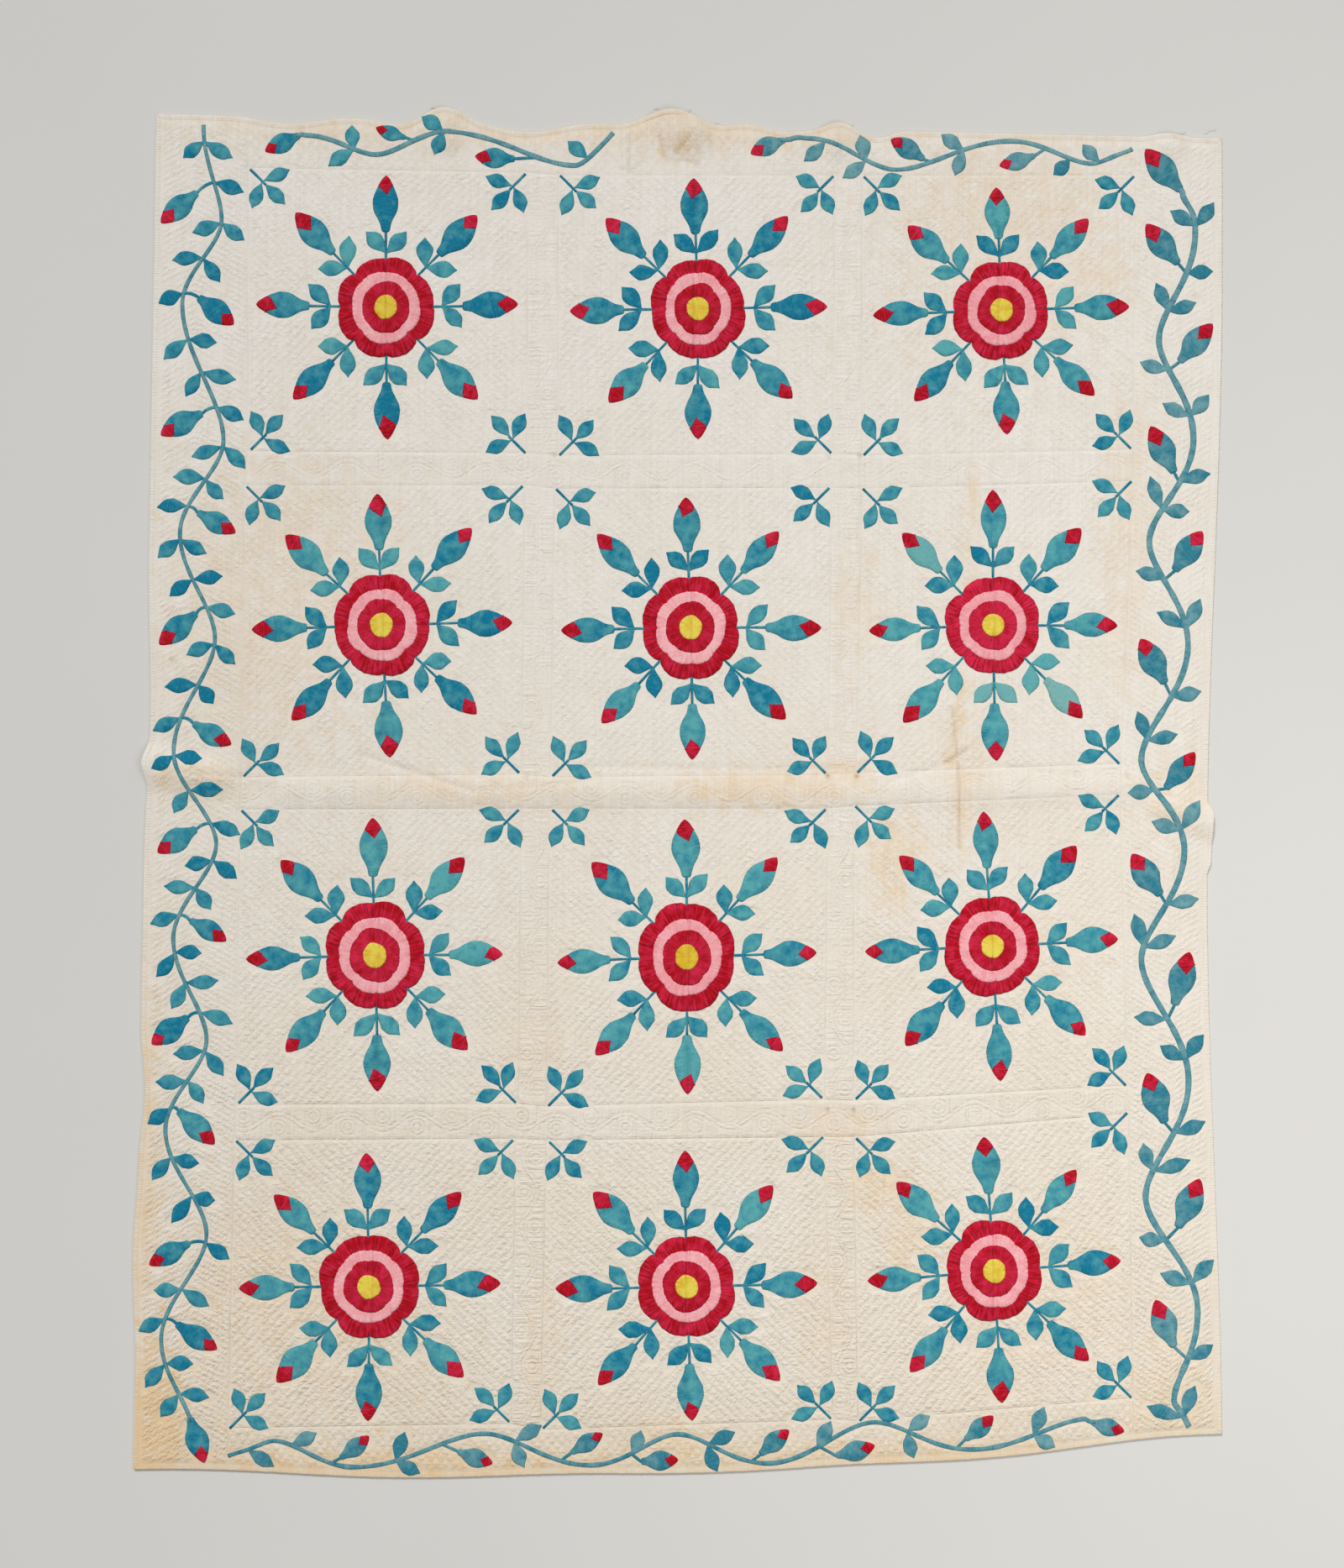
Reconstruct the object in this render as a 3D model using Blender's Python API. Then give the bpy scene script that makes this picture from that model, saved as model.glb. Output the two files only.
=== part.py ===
"""Applique quilt with twelve rose blocks and a vine border, laid flat and face up.

Metres, +Z up, +X to the right of the face and +Y to its top edge. The underside lies on z = 0, and
the outline is centred on the origin. Sizes in the tables are millimetres.
"""

import math
from collections import namedtuple

import bmesh
import bpy
from mathutils import Vector
from mathutils.bvhtree import BVHTree

MM = 0.001

# Cloth thicknesses, and the clearance that separate pieces keep
QUILT_THICKNESS = 4.0 * MM
CLOTH = 1.0 * MM
GAP = 0.35 * MM

# Binding: a folded strip round the squeezed edge of the quilt
BINDING_WIDTH = 8.0 * MM
EDGE_THICKNESS = 2.0 * MM
BINDING_HEIGHT = EDGE_THICKNESS + 2 * (CLOTH + GAP)
EDGE_INSET = CLOTH + GAP
SQUEEZE_END = BINDING_WIDTH + 0.8 * MM
FULL_THICKNESS_INSET = 12.0 * MM

# Rose layers and the spray of stems, leaves and buds below them
ROSE_RADIUS = 82.0 * MM
ROSE_NOTCH = 0.87
ROSE_LOBES = (13.0, 32.0)  # degrees past each notch
INNER_LOBES = (22.5,)
BOSS_RADIUS = 43.0 * MM
BOSS_NOTCH = 0.95
RING_RADIUS = 59.0 * MM
RING_NOTCH = 0.95
CENTRE_RADIUS = 20.0 * MM
CENTRE_SIDES = 8
PETALS = 8
HUB_RADIUS = 61.0 * MM
STEM_WIDTH = 4.5 * MM
LEAF_AT = 94.0 * MM
LEAF_FOOT = 2.5 * MM
LEAF_LENGTH = 53.0 * MM
LEAF_WIDTH = 24.0 * MM
LEAF_ANGLE = math.radians(45)
CALYX_START = 126.0 * MM
CALYX_NECK_WIDTH = 6.5 * MM
CALYX_WIDEST = 170.0 * MM
CALYX_WIDTH = 41.0 * MM
CALYX_SHOULDER = 196.0 * MM
CALYX_SHOULDER_WIDTH = 28.0 * MM
CALYX_TIP = 218.0 * MM

VINE_WIDTH = 9.0 * MM
VINE_STEP = 36.0 * MM

Point = namedtuple("Point", "x y")
CORNERS = {
    "top_left": Point(-863, 1124),
    "top_right": Point(901, 1084),
    "bottom_right": Point(901, -1061),
    "bottom_left": Point(-901, -1120),
}
SIDES = {
    "top": ("top_left", "top_right"),
    "bottom": ("bottom_left", "bottom_right"),
    "left": ("top_left", "bottom_left"),
    "right": ("top_right", "bottom_right"),
}

# Each bump moves a side out (+) or in (-) around one place along it, counted from its first corner
Bump = namedtuple("Bump", "side along out half_width")
BUMPS = (
    Bump("top", 218, -11, 104),
    Bump("top", 395, -8, 60),
    Bump("top", 477, 21, 66),
    Bump("top", 612, -16, 112),
    Bump("top", 852, 30, 92),
    Bump("top", 1048, -6, 60),
    Bump("top", 1130, 11, 44),
    Bump("top", 1194, -12, 50),
    Bump("top", 1674, 6, 50),
    Bump("bottom", 404, 19, 400),
    Bump("bottom", 960, 36, 780),
    Bump("bottom", 1447, 14, 330),
    Bump("left", 992, -7, 260),
    Bump("left", 1073, 11, 44),
    Bump("left", 1622, -8, 120),
    Bump("left", 1896, 7, 170),
    Bump("right", 1216, -25, 1000),
    Bump("right", 1118, 11, 40),
    Bump("right", 1211, -4, 40),
)

# Each ripple is a soft ridge along a line from (x0, y0) to (x1, y1), where the cloth stands off
Ripple = namedtuple("Ripple", "x0 y0 x1 y1 half_width height")
RIPPLES = (
    Ripple(-386, 1170, -386, 1086, 42, 6),
    Ripple(-11, 1180, 7, 1103, 62, 10),
    Ripple(267, 1170, 267, 1080, 42, 5),
    Ripple(817, 1150, 817, 1075, 42, 4),
    Ripple(-940, 58, -767, 27, 48, 7),
    Ripple(-640, 3, 250, 2, 36, 6),
    Ripple(250, 2, 755, 10, 36, 6),
    Ripple(810, -20, 940, -70, 42, 6),
)

# Grid lines of the ground, as shares of the way from left to right and from top to bottom
ACROSS = (0.0, 0.08, 0.165, 0.245, 0.27, 0.295, 0.345, 0.40, 0.445, 0.465, 0.485, 0.51, 0.53, 0.585,
          0.618, 0.642, 0.666, 0.74, 0.83, 0.915, 0.93, 0.957, 0.984, 1.0)
DOWN = (0.0, 0.016, 0.036, 0.24, 0.44, 0.452, 0.464, 0.475, 0.483, 0.493, 0.503, 0.513, 0.524, 0.534,
        0.549, 0.565, 0.66, 0.73, 0.83, 0.92, 1.0)

# Rose centres, with the small turn in degrees that each block was sewn with
Block = namedtuple("Block", "name x y turn")
BLOCKS = (
    Block("r1c1", -482, 800, 0),
    Block("r1c2", 26, 804, 1),
    Block("r1c3", 532, 799, 2),
    Block("r2c1", -488, 276, 2),
    Block("r2c2", 21, 272, 1),
    Block("r2c3", 520, 279, 1),
    Block("r3c1", -493, -268, 1),
    Block("r3c2", 15, -269, 1),
    Block("r3c3", 520, -252, 3),
    Block("r4c1", -509, -815, 1),
    Block("r4c2", 13, -814, 2),
    Block("r4c3", 523, -787, 4),
)

# A vine winds between these turning points, and runs along its border at each of them
VINES = {
    "vine_left": (
        Point(-785, 1106), Point(-755, 949), Point(-820, 810), Point(-752, 583), Point(-824, 430),
        Point(-766, 256), Point(-834, 72), Point(-764, -84), Point(-835, -241), Point(-780, -408),
        Point(-848, -557), Point(-780, -730), Point(-855, -904), Point(-808, -1036),
    ),
    "vine_right": (
        Point(834, 996), Point(856, 928), Point(796, 750), Point(853, 586), Point(780, 416),
        Point(844, 245), Point(767, 55), Point(838, -94), Point(767, -275), Point(845, -477),
        Point(774, -668), Point(860, -856), Point(821, -1006), Point(846, -1048),
    ),
    "vine_top_left": (
        Point(-620, 1089), Point(-500, 1057), Point(-381, 1094), Point(-171, 1039), Point(-107, 1082),
    ),
    "vine_top_right": (
        Point(177, 1076), Point(213, 1080), Point(361, 1032), Point(550, 1079), Point(685, 1042),
        Point(752, 1063),
    ),
    "vine_bottom": (
        Point(-744, -1097), Point(-674, -1071), Point(-538, -1112), Point(-320, -1060),
        Point(-153, -1110), Point(-4, -1060), Point(140, -1105), Point(320, -1042),
        Point(484, -1088), Point(682, -1039),
    ),
}

# Linear base colour and roughness of each cotton
COTTONS = {
    "ivory": ((0.83, 0.77, 0.68), 0.92),
    "binding_ivory": ((0.80, 0.73, 0.62), 0.92),
    "blue": ((0.02, 0.24, 0.36), 0.88),
    "red": ((0.53, 0.008, 0.04), 0.86),
    "pink": ((0.88, 0.38, 0.46), 0.88),
    "yellow": ((0.78, 0.68, 0.08), 0.88),
}


def cotton(name):
    """A matte cotton cloth of one colour."""
    material = bpy.data.materials.get(name + "_cotton")
    if material is None:
        material = bpy.data.materials.new(name + "_cotton")
        material.use_nodes = True
        shader = material.node_tree.nodes["Principled BSDF"]
        colour, roughness = COTTONS[name]
        shader.inputs["Base Color"].default_value = (*colour, 1.0)
        shader.inputs["Roughness"].default_value = roughness
        shader.inputs["Metallic"].default_value = 0.0
    return material


def new_object(name, mesh, cloth):
    thing = bpy.data.objects.new(name, mesh)
    bpy.context.scene.collection.objects.link(thing)
    if not mesh.materials:
        mesh.materials.append(cotton(cloth))
    return thing


def mesh_from(name, points, faces):
    mesh = bpy.data.meshes.new(name)
    mesh.from_pydata([tuple(p) for p in points], [], faces)
    mesh.update()
    return mesh


def soft_step(share):
    """0 at share 0, 1 at share 1, level at both ends."""
    return share * share * (3 - 2 * share)


def soft_hump(distance, half_width):
    """1 at distance 0, falling to 0 at half_width, level at both."""
    if abs(distance) >= half_width:
        return 0.0
    return 0.5 + 0.5 * math.cos(math.pi * distance / half_width)


class Side:
    """One side of the outline: a straight run between two corners, with bumps out or in."""

    def __init__(self, name):
        self.ends = SIDES[name]
        start, end = (Vector(CORNERS[corner]) * MM for corner in self.ends)
        self.start = start
        self.length = (end - start).length
        self.along = (end - start) / self.length
        outward = Vector((self.along.y, -self.along.x))
        self.outward = outward if outward.dot(start + end) > 0 else -outward
        self.bumps = [bump for bump in BUMPS if bump.side == name]
        self.inward_at_start, self.inward_at_end = (self.inward_from(c) for c in self.ends)

    def inward_from(self, corner):
        """Unit vector from a corner along the other side that meets there."""
        other = next(ends for ends in SIDES.values() if corner in ends and ends != self.ends)
        far = other[1] if other[0] == corner else other[0]
        return (Vector(CORNERS[far]) - Vector(CORNERS[corner])).normalized()

    def point(self, distance, inset):
        """The point that far along the side and that far in from its edge."""
        share = distance / self.length
        inward = self.inward_at_start.lerp(self.inward_at_end, share)
        out = sum(b.out * soft_hump(distance / MM - b.along, b.half_width) for b in self.bumps)
        return self.start + self.along * distance + self.outward * out * MM + inward * inset

    def distance(self, share, inset):
        """Distance along the side for a share of its run between the insets at both corners."""
        return inset + share * (self.length - 2 * inset)


OUTLINE = {name: Side(name) for name in SIDES}


def ground_point(u, v, inset_x, inset_y):
    """A point of the face: the four inset sides blended across (u) and down (v)."""
    top, bottom, left, right = (OUTLINE[n] for n in ("top", "bottom", "left", "right"))
    t = top.point(top.distance(u, inset_x), inset_y)
    b = bottom.point(bottom.distance(u, inset_x), inset_y)
    l = left.point(left.distance(v, inset_y), inset_x)
    r = right.point(right.distance(v, inset_y), inset_x)
    tl = top.point(top.distance(0, inset_x), inset_y)
    tr = top.point(top.distance(1, inset_x), inset_y)
    bl = bottom.point(bottom.distance(0, inset_x), inset_y)
    br = bottom.point(bottom.distance(1, inset_x), inset_y)
    corners = tl.lerp(tr, u).lerp(bl.lerp(br, u), v)
    return t.lerp(b, v) + l.lerp(r, u) - corners


def lift(point):
    """How far the cloth stands off the surface at a point."""
    height = 0.0
    for ripple in RIPPLES:
        start = Vector((ripple.x0, ripple.y0)) * MM
        run = Vector((ripple.x1, ripple.y1)) * MM - start
        share = min(max((point - start).dot(run) / run.length_squared, 0.0), 1.0)
        distance = (point - start - run * share).length
        height = max(height, ripple.height * MM * soft_hump(distance, ripple.half_width * MM))
    return height


def grid_lines(shares):
    """(share, inset, squeezed) for each grid line, with the squeezed edge rows at both ends."""
    edge = [(0.0, EDGE_INSET, True), (0.0, SQUEEZE_END, True)]
    inner = [(share, FULL_THICKNESS_INSET, False) for share in shares]
    return edge + inner + [(1.0, inset, squeezed) for _, inset, squeezed in reversed(edge)]


def build_ground():
    """The quilted sheet. Its top and underside share one grid, and its edge is squeezed thinner."""
    columns, rows = grid_lines(ACROSS), grid_lines(DOWN)
    top, bottom = [], []
    for v, inset_y, squeezed_y in rows:
        for u, inset_x, squeezed_x in columns:
            place = ground_point(u, v, inset_x, inset_y)
            edge_x = 0.0 if u in (0.0, 1.0) else inset_x
            edge_y = 0.0 if v in (0.0, 1.0) else inset_y
            height = lift(ground_point(u, v, edge_x, edge_y))
            squeezed = squeezed_x or squeezed_y
            low = height + (EDGE_INSET if squeezed else 0.0)
            thick = EDGE_THICKNESS if squeezed else QUILT_THICKNESS
            top.append((place.x, place.y, low + thick))
            bottom.append((place.x, place.y, low))
    across, down, under = len(columns), len(rows), len(top)
    faces = []
    for j in range(down - 1):
        for i in range(across - 1):
            a, b = j * across + i, j * across + i + 1
            c, d = b + across, a + across
            faces += [(a, d, c), (a, c, b)]
            faces += [(a + under, b + under, c + under), (a + under, c + under, d + under)]
    rim = list(range(across))
    rim += [j * across + across - 1 for j in range(1, down)]
    rim += [(down - 1) * across + i for i in range(across - 2, -1, -1)]
    rim += [j * across for j in range(down - 2, 0, -1)]
    for k, a in enumerate(rim):
        b = rim[(k + 1) % len(rim)]
        faces += [(a, b, b + under), (a, b + under, a + under)]
    mesh = mesh_from("ground", top + bottom, faces)
    new_object("ground", mesh, "ivory")
    return BVHTree.FromPolygons([Vector(p) for p in top + bottom], faces)


def build_binding(name):
    """A strip folded over one side, with mitred ends. Its section is a channel open inwards."""
    side = OUTLINE[name]
    shares = ACROSS if name in ("top", "bottom") else DOWN
    section = (
        (BINDING_WIDTH, 0.0),
        (0.0, 0.0),
        (0.0, BINDING_HEIGHT),
        (BINDING_WIDTH, BINDING_HEIGHT),
        (BINDING_WIDTH, BINDING_HEIGHT - CLOTH),
        (CLOTH, BINDING_HEIGHT - CLOTH),
        (CLOTH, CLOTH),
        (BINDING_WIDTH, CLOTH),
    )
    middle = [side.distance(share, FULL_THICKNESS_INSET) for share in shares]
    points = []
    for station in range(len(middle) + 2):
        for inset, height in section:
            if station == 0:
                distance = GAP + inset
            elif station == len(middle) + 1:
                distance = side.length - GAP - inset
            else:
                distance = middle[station - 1]
            place = side.point(distance, inset)
            raised = height + lift(side.point(distance, 0.0))
            points.append((place.x, place.y, raised))
    count, last = len(section), len(middle) + 1
    faces = [tuple(range(count))]
    for station in range(last):
        for k in range(count):
            a = station * count + k
            b = station * count + (k + 1) % count
            faces.append((b, a, a + count, b + count))
    faces.append(tuple(last * count + k for k in reversed(range(count))))
    mesh = mesh_from("binding_" + name, points, faces)
    turn_outwards(mesh)
    new_object("binding_" + name, mesh, "binding_ivory")


def turn_outwards(mesh):
    """Points every face of a closed mesh out."""
    shape = bmesh.new()
    shape.from_mesh(mesh)
    bmesh.ops.recalc_face_normals(shape, faces=shape.faces)
    shape.to_mesh(mesh)
    shape.free()


def plate(name, outline, low, thick):
    """A flat piece of cloth of this outline, given anticlockwise, from height low up."""
    shape = bmesh.new()
    face = shape.faces.new([shape.verts.new((x, y, low)) for x, y in outline])
    raised = bmesh.ops.extrude_face_region(shape, geom=[face])["geom"]
    corners = [v for v in raised if isinstance(v, bmesh.types.BMVert)]
    bmesh.ops.translate(shape, verts=corners, vec=(0, 0, thick))
    bmesh.ops.recalc_face_normals(shape, faces=shape.faces)
    mesh = bpy.data.meshes.new(name)
    shape.to_mesh(mesh)
    shape.free()
    return mesh


def polar(radius, angle):
    return (radius * math.cos(angle), radius * math.sin(angle))


def scallops(radius, notch, lobe_angles):
    """A round outline with a notch at each stem and lobes at these angles between the notches."""
    outline = []
    for k in range(PETALS):
        start = 2 * math.pi * k / PETALS
        outline.append(polar(radius * notch, start))
        outline += [polar(radius, start + math.radians(a)) for a in lobe_angles]
    return outline


def leaf_outline(base, angle):
    """Three points of a lens-shaped leaf between its ends at the stem: side, tip, side."""
    run = Vector(polar(LEAF_LENGTH, angle))
    across = Vector((-run.y, run.x)).normalized() * LEAF_WIDTH / 2
    base = Vector(base)
    return [base + run * 0.5 + across, base + run, base + run * 0.5 - across]


def arm_side():
    """Half the outline of one arm of the spray, from the hub out: (distance out, distance across)."""
    half_stem = STEM_WIDTH / 2
    leaf = leaf_outline((LEAF_AT, half_stem), LEAF_ANGLE)
    return [
        Vector((HUB_RADIUS, half_stem)),
        Vector((LEAF_AT - LEAF_FOOT, half_stem)),
        *leaf,
        Vector((LEAF_AT + LEAF_FOOT, half_stem)),
        Vector((CALYX_START, CALYX_NECK_WIDTH / 2)),
        Vector((CALYX_WIDEST, CALYX_WIDTH / 2)),
        Vector((CALYX_SHOULDER, CALYX_SHOULDER_WIDTH / 2)),
    ]


def spray_mesh(low):
    """Eight arms of stem, leaf pair and bud calyx, joined below the rose."""
    half = arm_side()
    arm = [Vector((p.x, -p.y)) for p in half] + [Vector((CALYX_TIP, 0.0))] + half[::-1]
    outline = []
    for k in range(PETALS):
        angle = 2 * math.pi * k / PETALS
        outline += [(p.x * math.cos(angle) - p.y * math.sin(angle),
                     p.x * math.sin(angle) + p.y * math.cos(angle)) for p in arm]
    return plate("spray", outline, low, CLOTH)


def rose_mesh(low):
    """The red rose: a scalloped round, with the inner red round standing on it."""
    outer = scallops(ROSE_RADIUS, ROSE_NOTCH, ROSE_LOBES)
    boss = scallops(BOSS_RADIUS, BOSS_NOTCH, INNER_LOBES)
    petal, step = len(outer) // PETALS, len(boss) // PETALS
    face_height = low + CLOTH
    boss_height = face_height + GAP + CLOTH + GAP + CLOTH
    points = [(x, y, low) for x, y in outer] + [(x, y, face_height) for x, y in outer]
    points += [(x, y, face_height) for x, y in boss] + [(x, y, boss_height) for x, y in boss]
    rim, foot, crown = len(outer), 2 * len(outer), 2 * len(outer) + len(boss)
    faces = [tuple(reversed(range(rim)))]
    for a in range(rim):
        b = (a + 1) % rim
        faces.append((a, b, b + rim, a + rim))
    for k in range(PETALS):
        edge = [rim + (k * petal + i) % rim for i in range(petal + 1)]
        inner = [foot + (k * step + i) % len(boss) for i in range(step, -1, -1)]
        faces.append(tuple(edge + inner))
    for a in range(len(boss)):
        b = (a + 1) % len(boss)
        faces.append((foot + a, foot + b, crown + b, crown + a))
    faces.append(tuple(crown + k for k in range(len(boss))))
    return mesh_from("rose", points, faces)


def ring_mesh(low):
    """The pink round, open in the middle where the inner red round stands."""
    outer = scallops(RING_RADIUS, RING_NOTCH, INNER_LOBES)
    inner = scallops(BOSS_RADIUS + 2 * GAP, BOSS_NOTCH, INNER_LOBES)
    count = len(outer)
    points = []
    for height in (low, low + CLOTH):
        points += [(x, y, height) for x, y in outer + inner]
    faces = []
    for a in range(count):
        b = (a + 1) % count
        high_a, high_b = a + 2 * count, b + 2 * count
        faces.append((a, b, high_b, high_a))
        faces.append((b + count, a + count, high_a + count, high_b + count))
        faces.append((high_a, high_b, high_b + count, high_a + count))
        faces.append((b, a, a + count, b + count))
    return mesh_from("rose_ring", points, faces)


def build_blocks():
    """Twelve sprays, each under its rose of three pieces."""
    spray_low = QUILT_THICKNESS + GAP
    rose_low = spray_low + CLOTH + GAP
    ring_low = rose_low + CLOTH + GAP
    centre_low = ring_low + CLOTH + GAP + CLOTH + GAP
    centre = [polar(CENTRE_RADIUS, 2 * math.pi * k / CENTRE_SIDES) for k in range(CENTRE_SIDES)]
    pieces = (
        ("spray_", spray_mesh(spray_low), "blue"),
        ("rose_", rose_mesh(rose_low), "red"),
        ("rose_ring_", ring_mesh(ring_low), "pink"),
        ("rose_centre_", plate("rose_centre", centre, centre_low, CLOTH), "yellow"),
    )
    for block in BLOCKS:
        for prefix, mesh, cloth in pieces:
            piece = new_object(prefix + block.name, mesh, cloth)
            piece.location = (block.x * MM, block.y * MM, 0.0)
            piece.rotation_euler = (0.0, 0.0, math.radians(block.turn))


def winding_line(turns, upright):
    """Points of a vine at even steps, level with its border at each turning point."""
    line = []
    for start, end in zip(turns, turns[1:]):
        run = abs(end.y - start.y) if upright else abs(end.x - start.x)
        steps = max(2, round(run * MM / VINE_STEP))
        for k in range(steps):
            share = k / steps
            even, soft = share, soft_step(share)
            x = start.x + (end.x - start.x) * (soft if upright else even)
            y = start.y + (end.y - start.y) * (even if upright else soft)
            line.append(Vector((x, y)) * MM)
    line.append(Vector(turns[-1]) * MM)
    return line


def highest_under(tree, place):
    """Height of the ground's face at a point."""
    hit, _, _, _ = tree.ray_cast(Vector((place.x, place.y, 1.0)), Vector((0, 0, -1)))
    return hit.z


def lay_on(tree, line, sideways):
    """A height for each point of the line, so that the strip clears the ground all along."""
    def under(place, across):
        return max(highest_under(tree, place + across * s) for s in (-1, -0.5, 0, 0.5, 1))

    heights = [under(p, a) for p, a in zip(line, sideways)]
    samples = 6
    for k in range(len(line) - 1):
        for i in range(1, samples):
            share = i / samples
            place = line[k].lerp(line[k + 1], share)
            across = sideways[k].lerp(sideways[k + 1], share)
            strip = heights[k] + (heights[k + 1] - heights[k]) * share
            short = under(place, across) - strip
            if short > 0:
                heights[k] += short
                heights[k + 1] += short
    return [h + GAP for h in heights]


def build_vine(name, turns, tree):
    """A flat strip of bias cloth along the winding line, laid on the ground."""
    upright = name in ("vine_left", "vine_right")
    line = winding_line(turns, upright)
    sideways = []
    for k in range(len(line)):
        run = line[min(k + 1, len(line) - 1)] - line[max(k - 1, 0)]
        sideways.append(Vector((-run.y, run.x)).normalized() * VINE_WIDTH / 2)
    points = []
    for place, across, height in zip(line, sideways, lay_on(tree, line, sideways)):
        for corner, raised in ((across, 0.0), (-across, 0.0), (-across, CLOTH), (across, CLOTH)):
            points.append((place.x + corner.x, place.y + corner.y, height + raised))
    last = len(line) - 1
    faces = [(0, 1, 2, 3), tuple(4 * last + k for k in (3, 2, 1, 0))]
    for k in range(last):
        for i in range(4):
            a, b = 4 * k + i, 4 * k + (i + 1) % 4
            faces.append((b, a, a + 4, b + 4))
    mesh = mesh_from(name, points, faces)
    turn_outwards(mesh)
    new_object(name, mesh, "blue")


def main():
    for thing in list(bpy.data.objects):
        bpy.data.objects.remove(thing)
    ground = build_ground()
    for name in SIDES:
        build_binding(name)
    build_blocks()
    for name, turns in VINES.items():
        build_vine(name, turns, ground)


main()
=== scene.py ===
"""Applique quilt: patchwork ground, quilting, rose blocks, vine border, binding and loose threads.

Lengths are millimetres of the quilt's face until a mesh is made. Readings off the photograph are in
its pixels, and spot() turns them into millimetres.
"""

import math
import random
from collections import namedtuple

import bpy
import numpy as np
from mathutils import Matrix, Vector


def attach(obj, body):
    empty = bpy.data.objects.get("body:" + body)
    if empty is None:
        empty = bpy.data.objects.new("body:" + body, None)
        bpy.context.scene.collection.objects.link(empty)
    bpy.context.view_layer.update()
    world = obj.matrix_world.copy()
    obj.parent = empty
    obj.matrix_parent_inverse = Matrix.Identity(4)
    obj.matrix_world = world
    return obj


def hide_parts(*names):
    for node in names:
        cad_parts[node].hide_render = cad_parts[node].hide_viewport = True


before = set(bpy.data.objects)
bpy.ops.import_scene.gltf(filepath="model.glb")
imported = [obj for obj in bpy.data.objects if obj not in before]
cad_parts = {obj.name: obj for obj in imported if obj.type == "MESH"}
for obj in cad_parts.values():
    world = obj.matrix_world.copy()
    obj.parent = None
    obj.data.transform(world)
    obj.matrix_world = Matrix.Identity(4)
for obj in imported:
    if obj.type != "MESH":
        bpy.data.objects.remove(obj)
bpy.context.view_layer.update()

MM = 0.001
PIXEL = 1.39  # millimetres of face to a pixel of the photograph

bpy.ops.object.select_all(action="DESELECT")


def spot(px, py):
    """The place on the face that the photograph shows at a pixel, in millimetres."""
    return np.array(((px - 807) * PIXEL, (944.5 - py) * PIXEL))


# Sizes, as in the CAD model
QUILT_THICKNESS = 4.0
BINDING_WIDTH = 8.0
BINDING_HEIGHT = 4.7
EDGE_INSET = 1.35
EDGE_THICKNESS = 2.0
SQUEEZE_END = 8.8
FULL_THICKNESS_INSET = 20.0  # the filling thins towards the edge over some 11 mm

# Corners of the outline, and the two that each side joins
CORNERS = {
    "top_left": (-863, 1124), "top_right": (901, 1084),
    "bottom_right": (901, -1061), "bottom_left": (-901, -1120),
}
SIDES = {
    "top": ("top_left", "top_right"), "bottom": ("bottom_left", "bottom_right"),
    "left": ("top_left", "bottom_left"), "right": ("top_right", "bottom_right"),
}
# (along, out, half width) of each place where a side swings out or in
BUMPS = {
    "top": ((218, -11, 104), (395, -8, 60), (477, 21, 66), (612, -16, 112), (852, 26, 92),
            (972, 5, 52), (1048, -6, 60), (1130, 11, 44), (1194, -12, 50), (1674, 6, 50)),
    "bottom": ((404, 19, 400), (960, 36, 780), (1447, 14, 330)),
    "left": ((992, -7, 260), (1073, 11, 44), (1622, -8, 120), (1896, 7, 170)),
    "right": ((1216, -25, 1000), (1120, 10, 26), (1146, 9, 26), (1172, 8, 26), (1197, 7, 24)),
}
# Soft ridges where the cloth stands off the floor: x0, y0, x1, y1, half width, height
RIPPLES = (
    (-386, 1170, -386, 1086, 42, 6), (-11, 1180, 7, 1103, 62, 10), (267, 1170, 267, 1080, 42, 5),
    (817, 1150, 817, 1075, 42, 4), (-940, 58, -767, 27, 48, 7), (-640, 3, 250, 2, 40, 3.5),
    (250, 2, 755, 10, 40, 3.5), (810, -20, 940, -70, 42, 6),
)
# Pressed-in fold lines and pulls that the camera sees: pixels x0, y0, x1, y1, then half width, height.
# The first ones are the folds down the middle of each column, too soft to dent the applique
FOLDS = 6
CREASES = (
    (461, 190, 455, 925, 5, -0.5), (455, 925, 441, 1700, 5, -0.45),
    (826, 190, 822, 925, 5, -0.7), (822, 925, 815, 1700, 5, -0.55),
    (1190, 200, 1181, 925, 5, -0.45), (1181, 925, 1182, 1640, 5, -0.45),
    (430, 898, 565, 942, 8, -1.4), (565, 942, 700, 930, 8, -0.8), (700, 912, 1000, 916, 9, -0.8),
    (1128, 908, 1150, 892, 6, -2.0), (1141, 908, 1143, 1010, 6, -1.5), (1134, 845, 1139, 900, 7, -1.3),
    (1060, 930, 1128, 908, 8, -1.1), (1145, 905, 1290, 925, 10, -0.8), (1128, 908, 1170, 700, 9, -0.6),
    (749, 158, 749, 204, 4, -1.0), (847, 159, 847, 187, 4, -0.9), (832, 172, 832, 195, 4, -1.0),
    (786, 160, 788, 180, 5, -1.1), (788, 180, 795, 192, 5, -1.0), (795, 192, 822, 191, 4, -0.9),
    (822, 191, 830, 198, 4, -1.0), (822, 162, 804, 183, 6, -1.4), (737, 200, 752, 203, 4, -1.0),
    (752, 203, 772, 188, 4, -0.8), (600, 165, 640, 158, 8, -0.9),
    (998, 155, 1003, 200, 8, -0.8), (1360, 935, 1430, 960, 8, -1.2), (180, 915, 290, 925, 9, -1.0),
    (628, 1400, 660, 1700, 6, -0.5), (1003, 560, 1003, 900, 7, -0.5), (1100, 940, 1040, 1010, 8, -0.7),
)

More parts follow.
